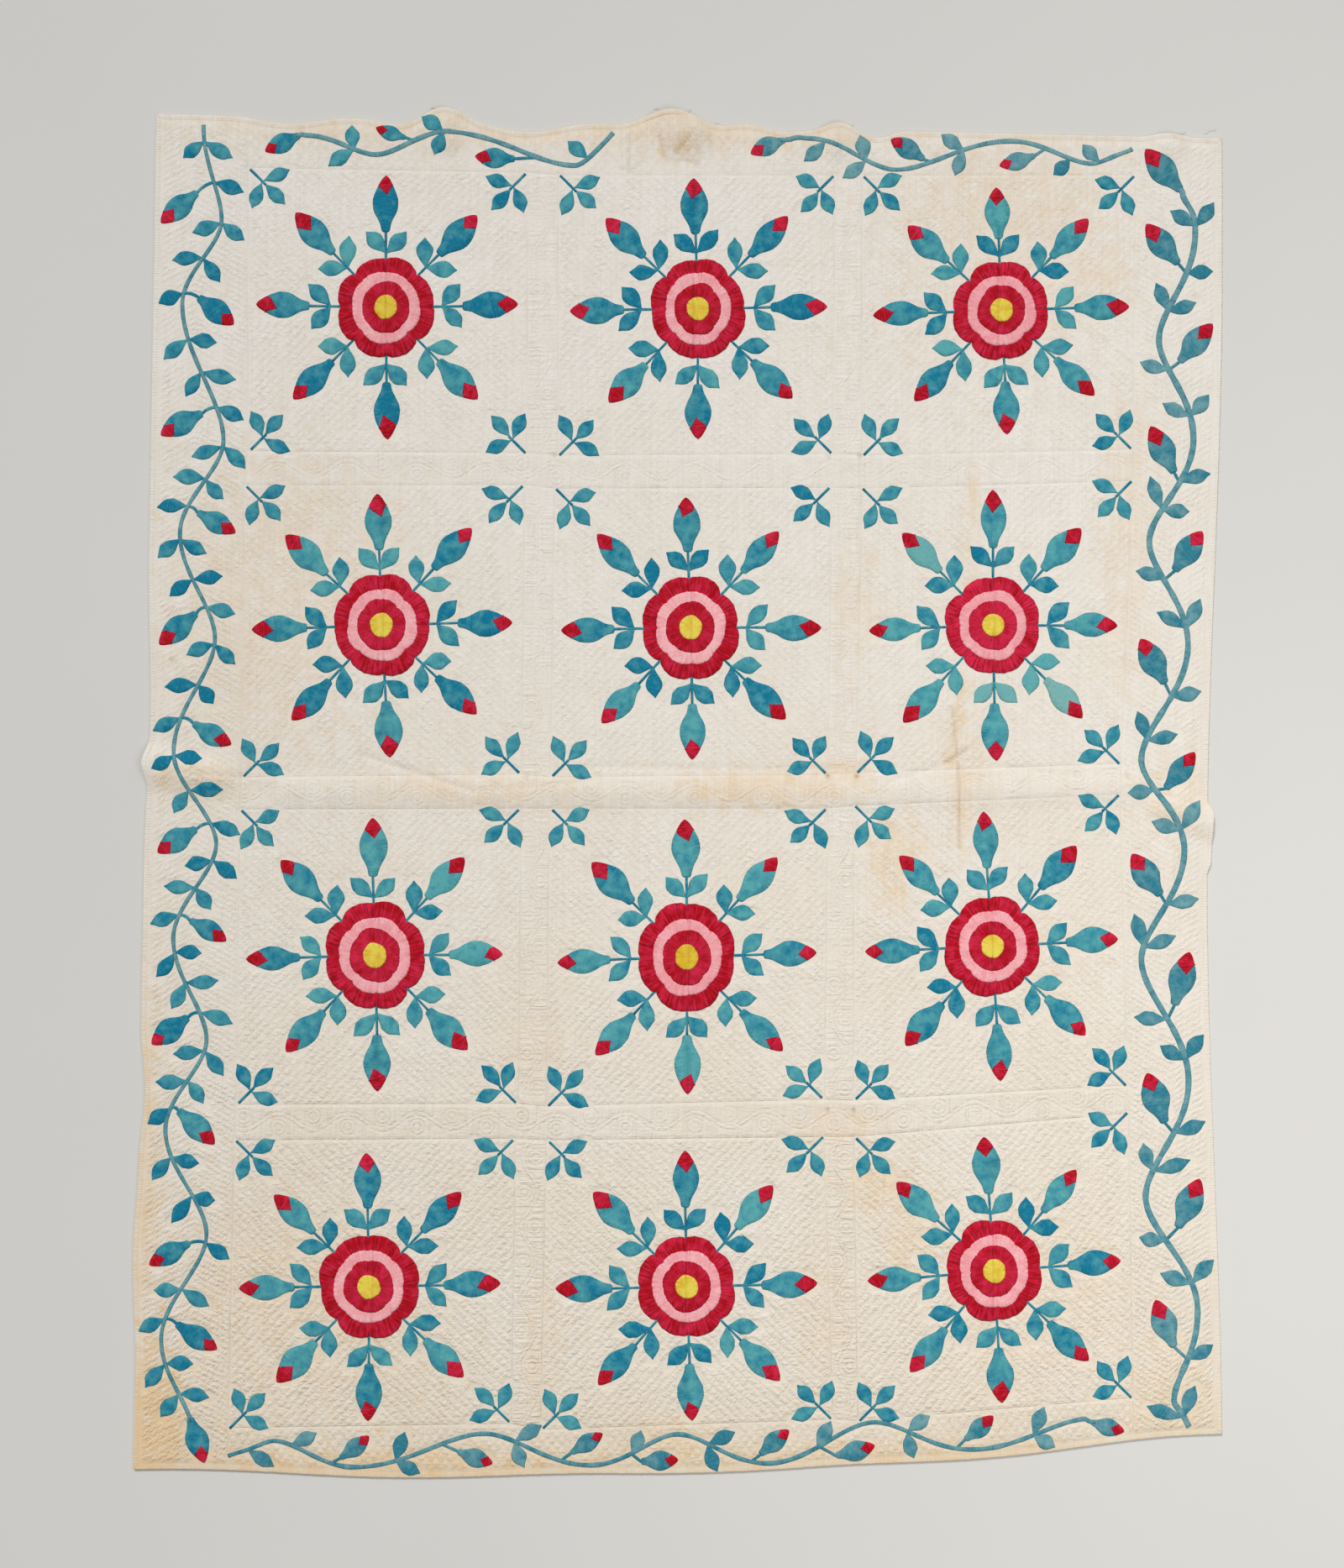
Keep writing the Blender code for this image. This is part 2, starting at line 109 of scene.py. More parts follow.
# Middle and turn of each block, then how wide and high its spray and its rose are beside the usual
Block = namedtuple("Block", "name x y turn spray rose")
BLOCKS = (
    Block("r1c1", -483, 804, 0, (0.99, 0.99), (1.00, 1.00)),
    Block("r1c2", 33, 801, 1, (0.97, 0.985), (0.98, 0.985)),
    Block("r1c3", 535, 799, 2, (0.965, 0.935), (1.00, 0.965)),
    Block("r2c1", -490, 278, 2, (0.985, 1.00), (1.01, 1.00)),
    Block("r2c2", 21, 274, 1, (0.985, 0.99), (1.01, 1.015)),
    Block("r2c3", 521, 278, 1, (0.945, 1.03), (0.99, 0.955)),
    Block("r3c1", -501, -268, 1, (0.975, 1.03), (1.05, 1.05)),
    Block("r3c2", 15, -271, 1, (0.99, 1.04), (1.01, 1.07)),
    Block("r3c3", 520, -253, 3, (0.96, 1.015), (1.00, 0.97)),
    Block("r4c1", -511, -816, 1, (0.99, 1.01), (1.04, 1.01)),
    Block("r4c2", 15, -816, 2, (0.985, 1.025), (1.01, 1.00)),
    Block("r4c3", 523, -790, 4, (0.965, 1.005), (1.00, 0.995)),
)
# Places where each vine turns, from end to end
VINES = {
    "left": ((-785, 1106), (-755, 949), (-820, 810), (-752, 583), (-824, 430), (-766, 256), (-834, 72),
             (-764, -84), (-835, -241), (-780, -408), (-848, -557), (-780, -730), (-855, -904),
             (-808, -1036)),
    "right": ((834, 996), (856, 928), (796, 750), (853, 586), (780, 416), (844, 245), (767, 55),
              (838, -94), (767, -275), (845, -477), (774, -668), (860, -856), (821, -1006), (846, -1048)),
    "top_left": ((-620, 1089), (-500, 1057), (-381, 1094), (-171, 1039), (-107, 1093)),
    "top_right": ((177, 1080), (213, 1084), (361, 1032), (550, 1079), (685, 1042), (752, 1066)),
    "bottom": ((-744, -1097), (-668, -1072), (-535, -1115), (-320, -1060), (-145, -1112), (0, -1061),
               (148, -1109), (326, -1041), (484, -1086), (682, -1035)),
}
VINE_HALF = {"left": 3.5, "right": 5.0, "top_left": 4.1, "top_right": 3.9, "bottom": 3.8}
# How far each vine's slopes lie to the right, or above, an even wave through its turning points
VINE_LEAN = {"left": -2.5, "right": 5.5, "top_left": 3.0, "top_right": 3.0, "bottom": -4.0}
# How far the slopes at its two ends run on straight instead of levelling out
VINE_ENDS = {"left": (0, 0.35), "right": (0, 0.7), "top_left": (0, 0.7), "top_right": (0, 0.7),
             "bottom": (0.7, 0)}
# How deep the blue of a vine's strip, and of its leaves and buds, is
VINE_SHADES = {"left": (0.45, 0.66), "right": (0.46, 0.62), "top_left": (0.36, 0.55),
               "top_right": (0.30, 0.42), "bottom": (0.60, 0.60)}

# Middles of the corner sprigs: one row for the top and one for the bottom of each row of blocks
SPRIGS = (
    ((319, 222), (605, 228), (688, 231), (970, 231), (1050, 231), (1328, 231)),
    ((319, 515), (603, 517), (688, 520), (968, 518), (1050, 520), (1325, 513)),
    ((314, 600), (601, 600), (684, 604), (966, 603), (1050, 604), (1325, 595)),
    ((311, 903), (597, 900), (679, 903), (962, 900), (1043, 898), (1311, 887)),
    ((309, 986), (597, 985), (678, 985), (961, 985), (1040, 982), (1310, 968)),
    ((305, 1293), (593, 1292), (674, 1295), (958, 1287), (1040, 1288), (1318, 1270)),
    ((303, 1380), (590, 1378), (674, 1380), (957, 1376), (1040, 1376), (1320, 1348)),
    ((295, 1678), (585, 1673), (667, 1680), (968, 1668), (1045, 1670), (1325, 1642)),
)
# Leaves of the vines: where the foot is along the vine, then the pixel of the tip
LEAVES = {
    "left": (
        (167, 218, 188), (167, 277, 188), (217, 290, 229), (266, 229, 277), (266, 291, 286),
        (307, 205, 310), (307, 262, 336), (349, 189, 361), (405, 195, 428), (405, 258, 408),
        (442, 221, 472), (442, 281, 452), (486, 290, 500), (532, 228, 544), (532, 292, 558),
        (571, 206, 568), (571, 266, 594), (603, 187, 604), (642, 188, 664), (642, 246, 659),
        (689, 202, 710), (689, 265, 686), (724, 280, 731), (767, 222, 780), (767, 280, 791),
        (815, 196, 818), (815, 254, 838), (855, 182, 870), (898, 181, 915), (898, 241, 903),
        (940, 207, 968), (940, 266, 940), (979, 286, 994), (1024, 220, 1031), (1024, 282, 1046),
        (1056, 195, 1055), (1056, 251, 1083), (1089, 179, 1100), (1134, 186, 1163), (1134, 240, 1135),
        (1170, 204, 1201), (1170, 260, 1167), (1205, 277, 1219), (1251, 206, 1255), (1251, 266, 1281),
        (1286, 185, 1288), (1286, 242, 1314), (1318, 176, 1338), (1376, 181, 1405), (1376, 237, 1385),
        (1423, 204, 1456), (1423, 256, 1429), (1478, 273, 1499), (1536, 183, 1536), (1536, 249, 1555),
        (1571, 165, 1585), (1623, 173, 1652), (1623, 230, 1624), (1660, 191, 1687), (1660, 249, 1664),
    ),
    "right": (
        (270, 1393, 251), (270, 1445, 241), (327, 1444, 323), (371, 1376, 337), (371, 1424, 360),
        (442, 1357, 431), (497, 1384, 480), (497, 1439, 470), (576, 1441, 564), (607, 1369, 567),
        (607, 1416, 609), (692, 1352, 680), (748, 1377, 729), (748, 1429, 713), (829, 1430, 823),
        (881, 1354, 847), (881, 1402, 874), (942, 1342, 944), (989, 1371, 978), (989, 1428, 953),
        (1078, 1427, 1070), (1128, 1350, 1088), (1128, 1400, 1114), (1212, 1350, 1211),
        (1263, 1381, 1245), (1263, 1433, 1232), (1348, 1435, 1335), (1394, 1361, 1361),
        (1394, 1417, 1381), (1476, 1356, 1473), (1530, 1381, 1516), (1530, 1445, 1500),
        (1617, 1444, 1601), (1687, 1365, 1674), (1687, 1423, 1650),
    ),
    "top_left": ((423, 419, 149), (423, 391, 198), (528, 502, 139), (528, 517, 184), (701, 676, 168)),
    "top_right": ((983, 957, 192), (1032, 1024, 161), (1032, 1003, 212), (1148, 1121, 160),
                  (1148, 1137, 209), (1275, 1254, 208), (1309, 1289, 172)),
    "bottom": (
        (296, 326, 1746), (347, 377, 1706), (472, 482, 1705), (472, 500, 1754), (614, 645, 1697),
        (614, 624, 1747), (750, 763, 1703), (844, 875, 1705), (844, 854, 1752), (973, 989, 1692),
        (1081, 1107, 1686), (1081, 1088, 1736), (1230, 1243, 1675), (1230, 1256, 1723),
    ),
}
# Buds of the vines: where the stem leaves the vine, then the pixels of the calyx's neck and of the tip
BUDS = {
    "left": (
        (217, 235, 229, 192, 265), (349, 236, 354, 278, 386), (486, 241, 492, 192, 518),
        (603, 235, 610, 280, 634), (724, 234, 730, 190, 767), (855, 230, 861, 275, 886),
        (979, 234, 987, 188, 1015), (1089, 226, 1096, 269, 1120), (1205, 224, 1211, 181, 1243),
        (1318, 212, 1322, 255, 1362), (1478, 226, 1480, 178, 1506), (1571, 210, 1576, 258, 1606),
    ),
    "right": (
        (327, 1403, 314, 1365, 267), (442, 1404, 431, 1443, 386), (576, 1398, 563, 1370, 508),
        (692, 1398, 680, 1431, 633), (829, 1387, 814, 1358, 761), (942, 1387, 939, 1422, 896),
        (1078, 1382, 1066, 1348, 1017), (1212, 1398, 1197, 1416, 1134), (1348, 1387, 1337, 1366, 1278),
        (1476, 1402, 1462, 1428, 1404), (1617, 1398, 1604, 1376, 1548),
    ),
    "top_left": ((492, 483, 164, 448, 152), (641, 613, 189, 566, 186)),
    "top_right": ((1110, 1100, 190, 1061, 166), (1246, 1232, 185, 1190, 197)),
    "bottom": (
        (395, 405, 1736, 439, 1710), (525, 545, 1728, 586, 1742), (666, 680, 1730, 717, 1707),
        (752, 763, 1740, 807, 1738), (896, 905, 1732, 939, 1703), (975, 995, 1733, 1041, 1721),
        (1140, 1149, 1714, 1182, 1686),
    ),
}
# The bud that ends a vine: pixels of its foot and its tip
END_BUDS = {
    "left": (226, 1688, 243, 1741), "right": (1406, 227, 1364, 178), "top_left": (357, 161, 316, 180),
    "top_right": (934, 167, 894, 183), "bottom": (1299, 1693, 1338, 1704),
}
# Tan stains: pixel of the middle, half sizes in pixels, strength
STAINS = (
    (760, 150, 640, 30, 0.4), (815, 172, 16, 20, 0.6), (788, 176, 8, 20, 0.5), (848, 158, 30, 20, 0.45),
    (1200, 250, 150, 100, 0.3), (330, 700, 150, 200, 0.25), (330, 1560, 200, 160, 0.3),
    (1100, 1738, 400, 26, 0.6), (1230, 1560, 160, 140, 0.2),
    (905, 938, 120, 26, 0.5), (560, 940, 150, 24, 0.3), (1190, 340, 170, 130, 0.2),
    (1066, 1015, 40, 48, 0.45), (1062, 1058, 24, 34, 0.45), (1045, 1412, 52, 34, 0.45),
    (1090, 1470, 40, 70, 0.35),
    (1195, 275, 22, 34, 0.35), (1310, 330, 40, 60, 0.3), (805, 1722, 60, 34, 0.5),
    (178, 1700, 60, 130, 1.0), (168, 1400, 30, 260, 0.5), (480, 1745, 330, 26, 0.7),
    (1160, 590, 9, 46, 0.4), (1152, 651, 7, 9, 0.55), (1150, 720, 16, 130, 0.2),
    (1143, 836, 9, 36, 0.55), (1137, 880, 10, 26, 0.5), (1130, 905, 13, 18, 0.5),
    (1144, 950, 15, 60, 0.4), (1150, 900, 40, 60, 0.2), (1000, 930, 50, 30, 0.4),
    (1390, 1660, 70, 90, 0.3), (1340, 640, 40, 200, 0.22), (700, 150, 90, 24, 0.25),
    (1200, 155, 200, 22, 0.3), (1003, 1340, 60, 24, 0.3), (230, 930, 70, 28, 0.35),
    (1400, 950, 50, 50, 0.3), (980, 1560, 46, 90, 0.2), (1020, 720, 40, 90, 0.2),
    (640, 1250, 50, 60, 0.18), (645, 1600, 30, 110, 0.25), (1250, 1150, 60, 80, 0.16),
)
# Rust spots: pixel of the middle, strength
RUST = (
    (985, 924, 1.0), (1020, 924, 0.9), (985, 1321, 0.8), (1016, 1321, 0.8), (205, 785, 0.5),
    (548, 721, 0.5), (660, 541, 0.5), (1024, 543, 0.6), (986, 543, 0.4), (627, 925, 0.4),
    (1342, 923, 0.5), (640, 1318, 0.4), (1300, 655, 0.3), (744, 1235, 0.3),
)


def step(share):
    """0 to 1 with level ends."""
    share = np.clip(share, 0.0, 1.0)
    return share * share * (3 - 2 * share)


def hump(distance, half_width):
    """1 at distance 0, falling to 0 at half_width."""
    near = np.minimum(np.abs(distance) / half_width, 1.0)
    return 0.5 + 0.5 * np.cos(np.pi * near)


def from_line(x, y, x0, y0, x1, y1):
    """Distance of each point from a straight line between two places."""
    run_x, run_y = x1 - x0, y1 - y0
    share = ((x - x0) * run_x + (y - y0) * run_y) / (run_x * run_x + run_y * run_y)
    share = np.clip(share, 0.0, 1.0)
    return np.hypot(x - x0 - run_x * share, y - y0 - run_y * share)


def from_pixels(x, y, px0, py0, px1, py1):
    """Distance of each point from a straight line between two pixels."""
    return from_line(x, y, *spot(px0, py0), *spot(px1, py1))


def wobble(x, y, size, seed):
    """Smooth unevenness, mostly within -1 to 1, whose humps are about that far apart."""
    draw = random.Random(seed)
    total = 0.0
    for _ in range(7):
        angle = draw.uniform(0, 2 * math.pi)
        rate = 2 * math.pi / (size * draw.uniform(0.7, 1.6))
        start = draw.uniform(0, 2 * math.pi)
        total = total + np.sin((x * math.cos(angle) + y * math.sin(angle)) * rate + start)
    return total / 4.0


def lay(x, y):
    """How far the cloth at each place stands off where a perfectly flat quilt would lie."""
    raised = np.zeros_like(x)
    for x0, y0, x1, y1, half_width, height in RIPPLES:
        raised = np.maximum(raised, height * hump(from_line(x, y, x0, y0, x1, y1), half_width))
    return raised


def rumple(x, y, creases):
    """Creases and the soft crumpling of a washed quilt, on top of lay()."""
    height = 0.22 * wobble(x, y, 120, 1) + 0.16 * wobble(x, y, 46, 2) + 0.10 * wobble(x, y, 21, 3)
    for *ends, half_width, depth in creases:
        height = height + depth * hump(from_pixels(x, y, *ends), half_width)
    return height


def face(x, y):
    """Height of the quilt's face under the applique, where no quilting line runs."""
    return QUILT_THICKNESS + lay(x, y) + rumple(x, y, CREASES[FOLDS:])


class Side:
    """One side of the outline: a straight run between two corners, with bumps out or in."""

    def __init__(self, name):
        ends = SIDES[name]
        self.start, end = (np.array(CORNERS[c], float) for c in ends)
        self.length = float(np.hypot(*(end - self.start)))
        self.along = (end - self.start) / self.length
        outward = np.array((self.along[1], -self.along[0]))
        self.outward = outward if outward @ (self.start + end) > 0 else -outward
        self.bumps = BUMPS[name]
        self.inward = [self.inward_from(corner, ends) for corner in ends]

    def inward_from(self, corner, ends):
        """Unit vector from a corner along the other side that meets there."""
        other = next(e for e in SIDES.values() if corner in e and e != ends)
        far = other[1] if other[0] == corner else other[0]
        run = np.array(CORNERS[far], float) - np.array(CORNERS[corner], float)
        return run / np.hypot(*run)

    def point(self, distance, inset):
        """Places that far along the side and that far in from its edge."""
        distance = np.asarray(distance, float)[..., None]
        share = distance / self.length
        out = sum(b[1] * hump(distance - b[0], b[2]) for b in self.bumps)
        inward = self.inward[0] * (1 - share) + self.inward[1] * share
        return self.start + self.along * distance + self.outward * out + inward * inset

    def distance_at(self, axis, value):
        """Distance along the side at which its straight run reaches a level of x (0) or y (1)."""
        return (value - self.start[axis]) / self.along[axis]


OUTLINE = {name: Side(name) for name in SIDES}


def linear(hex_colour):
    """An sRGB hex colour as the linear values that a shader takes."""
    parts = (int(hex_colour[i:i + 2], 16) / 255 for i in (1, 3, 5))
    return (*(p / 12.92 if p <= 0.04045 else ((p + 0.055) / 1.055) ** 2.4 for p in parts), 1.0)


def add(tree, kind, inputs=(), out=0, **settings):
    """Adds a node with its settings and links, and gives back one of its outputs. An input is a value
    or the socket that feeds it, given in order or by name."""
    node = tree.nodes.new(kind)
    for name, value in settings.items():
        setattr(node, name, value)
    for name, value in (inputs.items() if isinstance(inputs, dict) else enumerate(inputs)):
        socket = node.inputs[name]
        if isinstance(value, bpy.types.NodeSocket):
            tree.links.new(value, socket)
        else:
            socket.default_value = value
    return node.outputs[out]


THREAD_PITCH = 1.7 * MM  # plain weave; the real threads lie about 0.45 mm apart, too fine to show


def plain_weave(tree, where):
    """Height of a plain weave: threads across and down that pass over each other."""
    axes = add(tree, "ShaderNodeSeparateXYZ", (where,)).node.outputs
    threads = []
    for axis in (0, 1):
        turn = add(tree, "ShaderNodeMath", (axes[axis], 2 * math.pi / THREAD_PITCH), operation="MULTIPLY")
        threads.append(add(tree, "ShaderNodeMath", (turn,), operation="SINE"))
    return add(tree, "ShaderNodeMath", threads, operation="MULTIPLY")


def start_cotton(name):
    """A new material's tree, its Object coordinates and its shader, set for matte cotton."""
    material = bpy.data.materials.new(name)
    material.use_nodes = True
    tree = material.node_tree
    shader = tree.nodes["Principled BSDF"]
    shader.inputs["Specular IOR Level"].default_value = 0.15
    shader.inputs["Sheen Weight"].default_value = 0.04
    shader.inputs["Sheen Roughness"].default_value = 0.6
    where = add(tree, "ShaderNodeTexCoord", out="Object")
    return material, tree, where, shader


def finish_cotton(tree, shader, base, layers, bumps):
    """Lays colours over a base, each as strongly as its factor says, then bumps over each other. For
    colours, inputs 0, 6 and 7 of a Mix node are its factor and its two colours, and output 2 is the mix."""
    for factor, colour in layers:
        base = add(tree, "ShaderNodeMix", {0: factor, 6: base, 7: linear(colour)}, 2, data_type="RGBA")
    tree.links.new(base, shader.inputs["Base Color"])
    normal = None
    for strength, reach, height in bumps:
        inputs = {"Strength": strength, "Distance": reach * MM, "Height": height}
        if normal:
            inputs["Normal"] = normal
        normal = add(tree, "ShaderNodeBump", inputs)
    tree.links.new(normal, shader.inputs["Normal"])


def quilted_muslin(name, fresh, aged):
    """Washed white cotton muslin, quilted through: soft puffs between lines of tiny running stitches
    that pucker them, slightly yellowed, with tan storage stains."""
    material, tree, where, shader = start_cotton(name)
    shader.inputs["Roughness"].default_value = 0.93
    # the seam attribute carries the painted shade of the creases and pulls, and a faint line along the
    # seams
    worn = {key: add(tree, "ShaderNodeAttribute", out="Fac", attribute_name=key)
            for key in ("age", "stain", "seam", "rust", "puffy")}
    clouds = {key: add(tree, "ShaderNodeTexNoise", {"Vector": where, "Scale": 1 / (size * MM),
                                                    "Detail": detail, "Roughness": 0.6})
              for key, size, detail in (("mottle", 90, 5), ("blotch", 28, 4), ("crumple", 13, 3),
                                        ("slub", 4, 2))}
    # Puffs between the stitched lines, uneven along each line where the stitches pull
    places = add(tree, "ShaderNodeUVMap", uv_map="quilting")
    lines = add(tree, "ShaderNodeSeparateXYZ", (places,)).node.outputs
    puffs = []
    for axis in (0, 1):
        away = add(tree, "ShaderNodeMath", (lines[axis], 0.5), operation="PINGPONG")
        full = add(tree, "ShaderNodeMath", (away, 2.0), operation="MULTIPLY")
        puffs.append(add(tree, "ShaderNodeMath", (full, 0.5), operation="POWER"))
    puff = add(tree, "ShaderNodeMath", puffs, operation="MULTIPLY")
    run = add(tree, "ShaderNodeVectorMath", (add(tree, "ShaderNodeUVMap", uv_map="run"), (1.1, 1.9, 1)),
              operation="MULTIPLY")
    pull = add(tree, "ShaderNodeTexNoise", {"Vector": run, "Scale": 1.0, "Detail": 2.0})
    pull = add(tree, "ShaderNodeMapRange", (pull, 0.3, 0.7, 0.1, 1.6))
    relief = add(tree, "ShaderNodeMath", (puff, pull), operation="MULTIPLY")
    relief = add(tree, "ShaderNodeMath", (relief, worn["puffy"]), operation="MULTIPLY")
    # Puckers that lie across the quilt, 11 mm by 4 mm, and pulled threads 4 mm apart and 70 mm long that
    # run down it
    squeezed = add(tree, "ShaderNodeVectorMath", (where, (90, 240, 90)), operation="MULTIPLY")
    pucker = add(tree, "ShaderNodeTexNoise", {"Vector": squeezed, "Scale": 1.0, "Detail": 2.0})
    pucker = add(tree, "ShaderNodeMath", (pucker, worn["puffy"]), operation="MULTIPLY")
    drawn = add(tree, "ShaderNodeVectorMath", (where, (230, 14, 90)), operation="MULTIPLY")
    drawn = add(tree, "ShaderNodeTexNoise", {"Vector": drawn, "Scale": 1.0, "Detail": 3.0})
    # Colour: cloudy ageing, grey and tan that follow the pulled threads, and painted shade in the hollows
    # along the stitched lines
    tone = add(tree, "ShaderNodeMapRange", (clouds["blotch"], 0.35, 0.75, 0.0, 0.5))
    base = add(tree, "ShaderNodeMix", {0: tone, 6: linear(fresh), 7: linear(aged)}, 2, data_type="RGBA")
    cloudy = add(tree, "ShaderNodeMapRange", (clouds["blotch"], 0.3, 0.7, 0.35, 1.5))
    streaky = add(tree, "ShaderNodeMapRange", (drawn, 0.35, 0.65, 1.15, 0.85))
    # on the ground the stain attribute also carries the painted shade of the folds down each column
    stain_and_fold_shade = add(tree, "ShaderNodeMath", (worn["stain"], cloudy), operation="MULTIPLY")
    stain_and_fold_shade = add(tree, "ShaderNodeMath", (stain_and_fold_shade, streaky), operation="MULTIPLY", use_clamp=True)
    # painted shade in the hollows along the quilting lines, stronger where the puffs are fuller
    painted_valley_shade = add(tree, "ShaderNodeMapRange", (puff, 0.0, 0.5, 0.07, 0.0))
    painted_valley_shade = add(tree, "ShaderNodeMath", (painted_valley_shade, worn["puffy"]), operation="MULTIPLY")
    grey = add(tree, "ShaderNodeMapRange", (drawn, 0.35, 0.6, 0.13, 0.0))
    pale = add(tree, "ShaderNodeMapRange", (clouds["slub"], 0.3, 0.7, 0.0, 0.10))
    # the age layer also holds painted light, warmer and darker towards the lower edge
    finish_cotton(
        tree, shader, base,
        ((worn["age"], "#E6D8C0"), (stain_and_fold_shade, "#EACB9E"), (grey, "#C6BCAC"), (worn["seam"], "#B39674"),
         (painted_valley_shade, "#A8906F"), (worn["rust"], "#A06A3C"), (pale, "#F6F2EA")),
        ((0.2, 0.3, plain_weave(tree, where)), (0.45, 0.6, clouds["slub"]), (0.35, 1.2, clouds["crumple"]),
         (0.25, 0.6, drawn), (0.7, 1.3, pucker), (0.6, 1.2, relief)))
    return material


def dyed_cotton(name, pale, deep, dark, drawn_in, streaky, cloudy, fleck=None):
    """Piece-dyed plain cotton, unevenly faded in the wash. Its turned-under edges are gathered by the
    hem stitches; a thin darker line along them, and the tucks of the gathers, are painted shade. drawn_in
    is how far the gathers show away from the edge, streaky how strongly the dye has worn off along them,
    and cloudy how uneven it is elsewhere."""
    material, tree, where, shader = start_cotton(name)
    shader.inputs["Roughness"].default_value = 0.88
    # the third attribute is the painted shade of the folds down each column
    shade, rim, painted_fold_shade = (add(tree, "ShaderNodeAttribute", out="Fac", attribute_name=key)
                          for key in ("shade", "rim", "painted_fold_shade"))
    cloud = add(tree, "ShaderNodeTexNoise",
                {"Vector": where, "Scale": 1 / (15 * MM), "Detail": 3.0, "Roughness": 0.5})
    grain = add(tree, "ShaderNodeTexNoise",
                {"Vector": where, "Scale": 1 / (3.2 * MM), "Detail": 3.0, "Roughness": 0.7})
    faded = add(tree, "ShaderNodeMapRange", (cloud, 0.3, 0.7, -cloudy, cloudy))
    uneven = add(tree, "ShaderNodeMath", (faded, shade), operation="ADD", use_clamp=True)
    base = add(tree, "ShaderNodeMix", {0: uneven, 6: linear(pale), 7: linear(deep)}, 2, data_type="RGBA")
    # Gathers: lines across the edge, unevenly spaced and unevenly deep, with painted shade in their tucks
    places = add(tree, "ShaderNodeUVMap", uv_map="gathers")
    noises = []
    for scales in ((0.6, 0.14, 1), (0.45, 0.5, 1), (1.5, 0.4, 1)):
        drawn = add(tree, "ShaderNodeVectorMath", (places, scales), operation="MULTIPLY")
        noises.append(add(tree, "ShaderNodeTexNoise", {"Vector": drawn, "Scale": 1.0, "Detail": 3.0}))
    shift = add(tree, "ShaderNodeMapRange", (noises[0], 0.0, 1.0, -1.3, 1.3))
    along = add(tree, "ShaderNodeSeparateXYZ", (places,))
    along = add(tree, "ShaderNodeMath", (along, shift), operation="ADD")
    ridge = add(tree, "ShaderNodeMath", (along, 0.5), operation="PINGPONG")
    depth = add(tree, "ShaderNodeMapRange", (noises[1], 0.35, 0.65, 0.15, 1.4))
    edge = add(tree, "ShaderNodeMapRange", (rim, 0.0, 1.0, drawn_in, 0.75))
    painted_tuck_shade = add(tree, "ShaderNodeMapRange", (ridge, 0.0, 0.2, 1.0, 0.0))
    painted_tuck_shade = add(tree, "ShaderNodeMath", (painted_tuck_shade, edge), operation="MULTIPLY")
    painted_tuck_shade = add(tree, "ShaderNodeMath", (painted_tuck_shade, depth), operation="MULTIPLY", use_clamp=True)
    fullness = add(tree, "ShaderNodeMapRange", (rim, 0.0, 1.0, 1.3 * drawn_in, 1.6))
    gather = add(tree, "ShaderNodeMath", (ridge, fullness), operation="MULTIPLY")
    worn = add(tree, "ShaderNodeMapRange", (noises[2], 0.50, 0.66, 0.0, streaky))
    deeper = add(tree, "ShaderNodeMapRange", (noises[2], 0.32, 0.46, 0.4 * streaky, 0.0))
    pits = add(tree, "ShaderNodeMapRange", (grain, 0.35, 0.7, 0.2, 0.0))
    # painted shade along the rolled, turned-under edge
    painted_edge_shade = add(tree, "ShaderNodeMapRange", (rim, 0.75, 1.0, 0.0, 0.35))
    washed = add(tree, "ShaderNodeMapRange", (shade, -0.8, 0.0, 0.8, 0.0))
    layers = [(worn, pale), (washed, "#B4D0C0"), (deeper, dark), (painted_tuck_shade, dark), (pits, dark), (painted_edge_shade, dark),
              (painted_fold_shade, dark)]
    if fleck:
        dots = add(tree, "ShaderNodeTexVoronoi", {"Vector": where, "Scale": 1 / (3.5 * MM)}, feature="F1")
        layers.append((add(tree, "ShaderNodeMapRange", (dots, 0.1, 0.3, 0.6, 0.0)), fleck))
    finish_cotton(tree, shader, base, layers,
                  ((0.2, 0.3, plain_weave(tree, where)), (0.5, 0.6, grain), (0.7, 0.8, gather)))
    return material


# Fresh and aged tone of the muslin
MUSLIN = quilted_muslin("quilted_cotton_muslin", "#F0ECE6", "#EBE1D3")
BINDING = quilted_muslin("folded_muslin_binding", "#F0ECE6", "#EBE1D3")
# Pale, deep and darkest tone of each dye, then drawn_in, streaky and cloudy. The vines and most of their
# leaves are sewn of a duller, more faded blue than the sprays
BLUE = dyed_cotton("blue_dyed_cotton", "#62B4B8", "#047C9E", "#124A5E", 0.06, 0.22, 0.42)
FADED_BLUE = dyed_cotton("faded_blue_cotton", "#84B4B8", "#2C8298", "#24505E", 0.10, 0.25, 0.40)
RED = dyed_cotton("turkey_red_cotton", "#E62A50", "#BC0016", "#5E0212", 0.75, 0.65, 0.60)
PINK = dyed_cotton("pink_dyed_cotton", "#FFC6C8", "#F8A8AE", "#CC6A7C", 0.20, 0.25, 0.60, fleck="#D2586C")
YELLOW = dyed_cotton("yellow_dyed_cotton", "#F4DE5C", "#E4B82C", "#A88A20", 0.10, 0.40, 0.60)


QUILT_TOP, QUILT_LENGTH = 1124, 2250
EDGE_BAND = 1110  # how far from the middle the yellowed bands along the top and lower edge lie
STAIN_REACH, STAIN_FADE = 1.25, 0.9  # in half sizes of a stain: where it ends, and over what width it fades
RUST_REACH = 7.0


